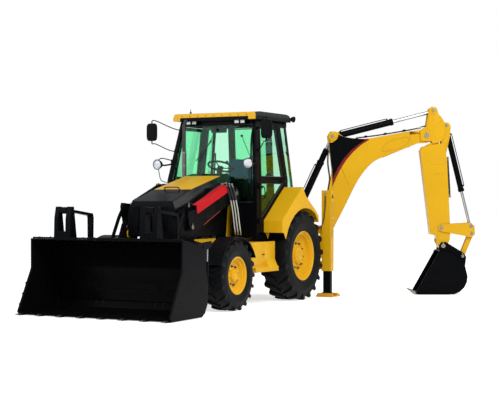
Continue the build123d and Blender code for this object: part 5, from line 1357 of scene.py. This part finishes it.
TOP_LINE = [(880, 2548), (948, 2556), (1225, 2590), (1500, 2636), (1822, 2692), (1905, 2712)]
lines = [[(860, y * 0.7, 2552)] + [(x, y, z + 12) for x, z in TOP_LINE]
         for y in (-62, -38, -14, 14, 38, 62)]
hose_run("boom_lines", lines, 9, "boom", hose_black, hoe)
clamps = bmesh.new()
for x, z in ((1010, 2563), (1330, 2607), (1640, 2660)):
    gather(clamps, slab([
        (x - 24, z - 4), (x + 24, z + 3), (x + 21, z + 32), (x - 27, z + 25)], -80, 80, 3, hoe))
    for y in (-50, 0, 50):
        gather(clamps, bolt(hoe(x - 3, y, z + 28), UP, 8, 6))
new_piece("boom_line_clamps", clamps, black, "boom")
back = [[
    (405, y, 2400), (380, y, 2200), (410, y, 1980), (424, y, 1880), (404, y, 1780),
    (380, y, 1600)] for y in (-102, -80, 80, 102)]
hose_run("boom_back_hoses", back, 9, "boom", hose_black, hoe)
feed = hose_run("stick_hose_loop", [[(1880, y, 2716), (1930, y, 2740), (1990, y * 1.1, 2752),
                                     (2060, y * 1.2, 2740), (2120, y * 1.2, 2700),
                                     (2150, y * 1.1, 2660)] for y in (-46, -22, 22, 46)], 9,
                None, hose_black, hoe)
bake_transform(feed)

# bolts and welded side plates on the stick
stick_bits = bmesh.new()
for s in (1, -1):
    way = hoe_way(s)
    for x, z in (
            (2130, 2160), (2190, 2160), (2240, 2160), (2145, 1960), (2200, 1960), (2255, 1960)):
        gather(stick_bits, bolt(hoe(x, s * 122, z), way, 10, 7))
    gather(stick_bits, slab([
        (2050, 2200), (2300, 2200), (2310, 2120), (2060, 2120)], s * 121.5, s * 127, 3, hoe))
    gather(stick_bits, slab([
        (2150, 870), (2230, 700), (2300, 700), (2350, 790), (2340, 900), (2260, 960),
        (2170, 950)], s * 121.5, s * 128, 4, hoe))
new_piece("stick_side_plates", stick_bits, yellow, "stick_outer")
stick_lines = [[
    (2352, y, 2240), (2360, y, 2100), (2388, y, 1640), (2388, y, 1580)] for y in (-66, 66)]
hose_run("stick_lines", stick_lines, 9, "stick_outer", hose_black, hoe)

# gland nut, band, two ports and a feed pipe on each barrel, and a sleeve over the boom's rod
for name, foot, rod_eye, length, r in (
        ("boom", (-220, 1085), (460, 2571), 1200, 55),
        ("stick", (460, 2571), (2103, 2988), 1030, 52),
        ("curl", (2321, 2753), (2720, 1108), 1110, 45)):
    d = math.hypot(rod_eye[0] - foot[0], rod_eye[1] - foot[1])
    ux, uz = (rod_eye[0] - foot[0]) / d, (rod_eye[1] - foot[1]) / d
    way = (hoe(ux * 100, 0, uz * 100) - hoe(0, 0, 0)).normalized()
    off_way = (hoe(-uz * 100, 0, ux * 100) - hoe(0, 0, 0)).normalized()

    def by_barrel(s0, up):
        return (foot[0] + ux * s0 - uz * up, 0, foot[1] + uz * s0 + ux * up)
    bits = pieces(
        lathe([(r - 2, 0), (r + 5, 0), (r + 6, 4), (r + 6, 44), (r + 3, 48), (r - 2, 48)],
              hoe(*by_barrel(length - 52, 0)), way),
        lathe([(r - 2, 0), (r + 3, 0), (r + 3, 26), (r - 2, 26)], hoe(*by_barrel(110, 0)), way),
        *[lathe([(0, 0), (15, 0), (15, 18), (11, 22), (0, 22)], hoe(*by_barrel(s0, r - 4)),
                off_way, 6) for s0 in (150, length - 90)],
        pipe([by_barrel(150, r + 18), by_barrel(185, r + 20), by_barrel(length - 130, r + 20),
              by_barrel(length - 90, r + 18)], 7, hoe))
    new_piece(name + "_cylinder_trim", bits, black, name + "_barrel")
    if name == "boom":
        sleeve = lathe([(36, 0), (47, 0), (49, 8), (49, 214), (46, 222), (36, 222)],
                       hoe(*by_barrel(1196, 0)), way, 28)
        new_piece("boom_rod_sleeve", sleeve, black, "boom_barrel")


# ---- hoe bucket wear parts ----
# Hard steel side cutters, bolted along the front edge of each cheek, and four wear straps
# welded round the heel, where the bucket drags on the ground.
side_cut = bmesh.new()
for s in (1, -1):
    gather(side_cut, slab([
        (1826, 40), (1866, 24), (2180, 560), (2200, 700), (2168, 700),
        (2140, 600)], s * 299, s * 311, 4, hoe))
    for t in (0.15, 0.35, 0.55, 0.75):
        gather(side_cut, bolt(hoe(
            1870 + 270 * t / 0.85, s * 311, 75 + 480 * t / 0.85), hoe_way(s), 10, 6))
for y in (-200, -67, 67, 200):
    gather(side_cut, slab([
        (2330, 0.5), (2430, 10), (2520, 50), (2590, 118), (2630, 203), (2642, 298), (2654, 298),
        (2643, 200), (2601, 111), (2527, 40), (2433, 0.5)], y - 24, y + 24, 2, hoe))
new_piece("hoe_bucket_cutters", side_cut, bucket_black, "hoe_bucket")


# ---- stabilizer and carriage fittings ----
# Bolted cover strips and a hose down each leg column, clamp bolts on the sliding carriage,
# and a wear plate bolted to its back.
columns = bmesh.new()
for s in (1, -1):
    face = s * 1176
    gather(columns, slab([
        (-846, 1500), (-739, 1500), (-739, 1660), (-846, 1660)], face, face + s * 5, 3))
    for x in (-830, -755):
        for z in (1520, 1640):
            gather(columns, bolt(place(x, face + s * 5, z), (0, s, 0), 9, 6))
    for z in (560, 900, 1240):
        gather(columns, slab([
            (-840, z), (-745, z), (-745, z + 26), (-840, z + 26)], face, face + s * 3, 2))
new_piece("column_plates", columns, yellow, "chassis")
trim = bmesh.new()
for s in (1, -1):
    face = s * 1176
    gather(trim, slab([
        (-826, 1560), (-804, 1620), (-796, 1620), (-792, 1590), (-784, 1620), (-762, 1560),
        (-774, 1556), (-792, 1600), (-798, 1600), (-812, 1556)], face + s * 5, face + s * 8))
    for x in (-818, -772):
        gather(trim, slab([
            (x - 3, 940), (x + 3, 940), (x + 3, 1496), (x - 3, 1496)], face, face + s * 1.6))
new_piece("column_slots", trim, black, "chassis")
leg_hoses = [[
    (-730, s * 1096, 1640), (-706, s * 1096, 1600), (-704, s * 1094, 1400),
    (-706, s * 1060, 1150), (-704, s * 960, 1060), (-700, s * 700, 1010)] for s in (1, -1)]
hose_run("leg_hoses", leg_hoses, 9, "chassis", hose_black)
carriage = bmesh.new()
for y in (-230, -80, 80, 230):
    for z in (1145, 415):
        gather(carriage, bolt(place(-935, 439 + y, z), (-1, 0, 0), 16, 12))
gather(carriage, block(-943, -934, 439 - 120, 439 + 120, 600, 740, 4))
for y in (-100, 100):
    gather(carriage, bolt(place(-943, 439 + y, 670), (-1, 0, 0), 12, 9))
new_piece("carriage_bolts", carriage, steel, "shift_carriage")
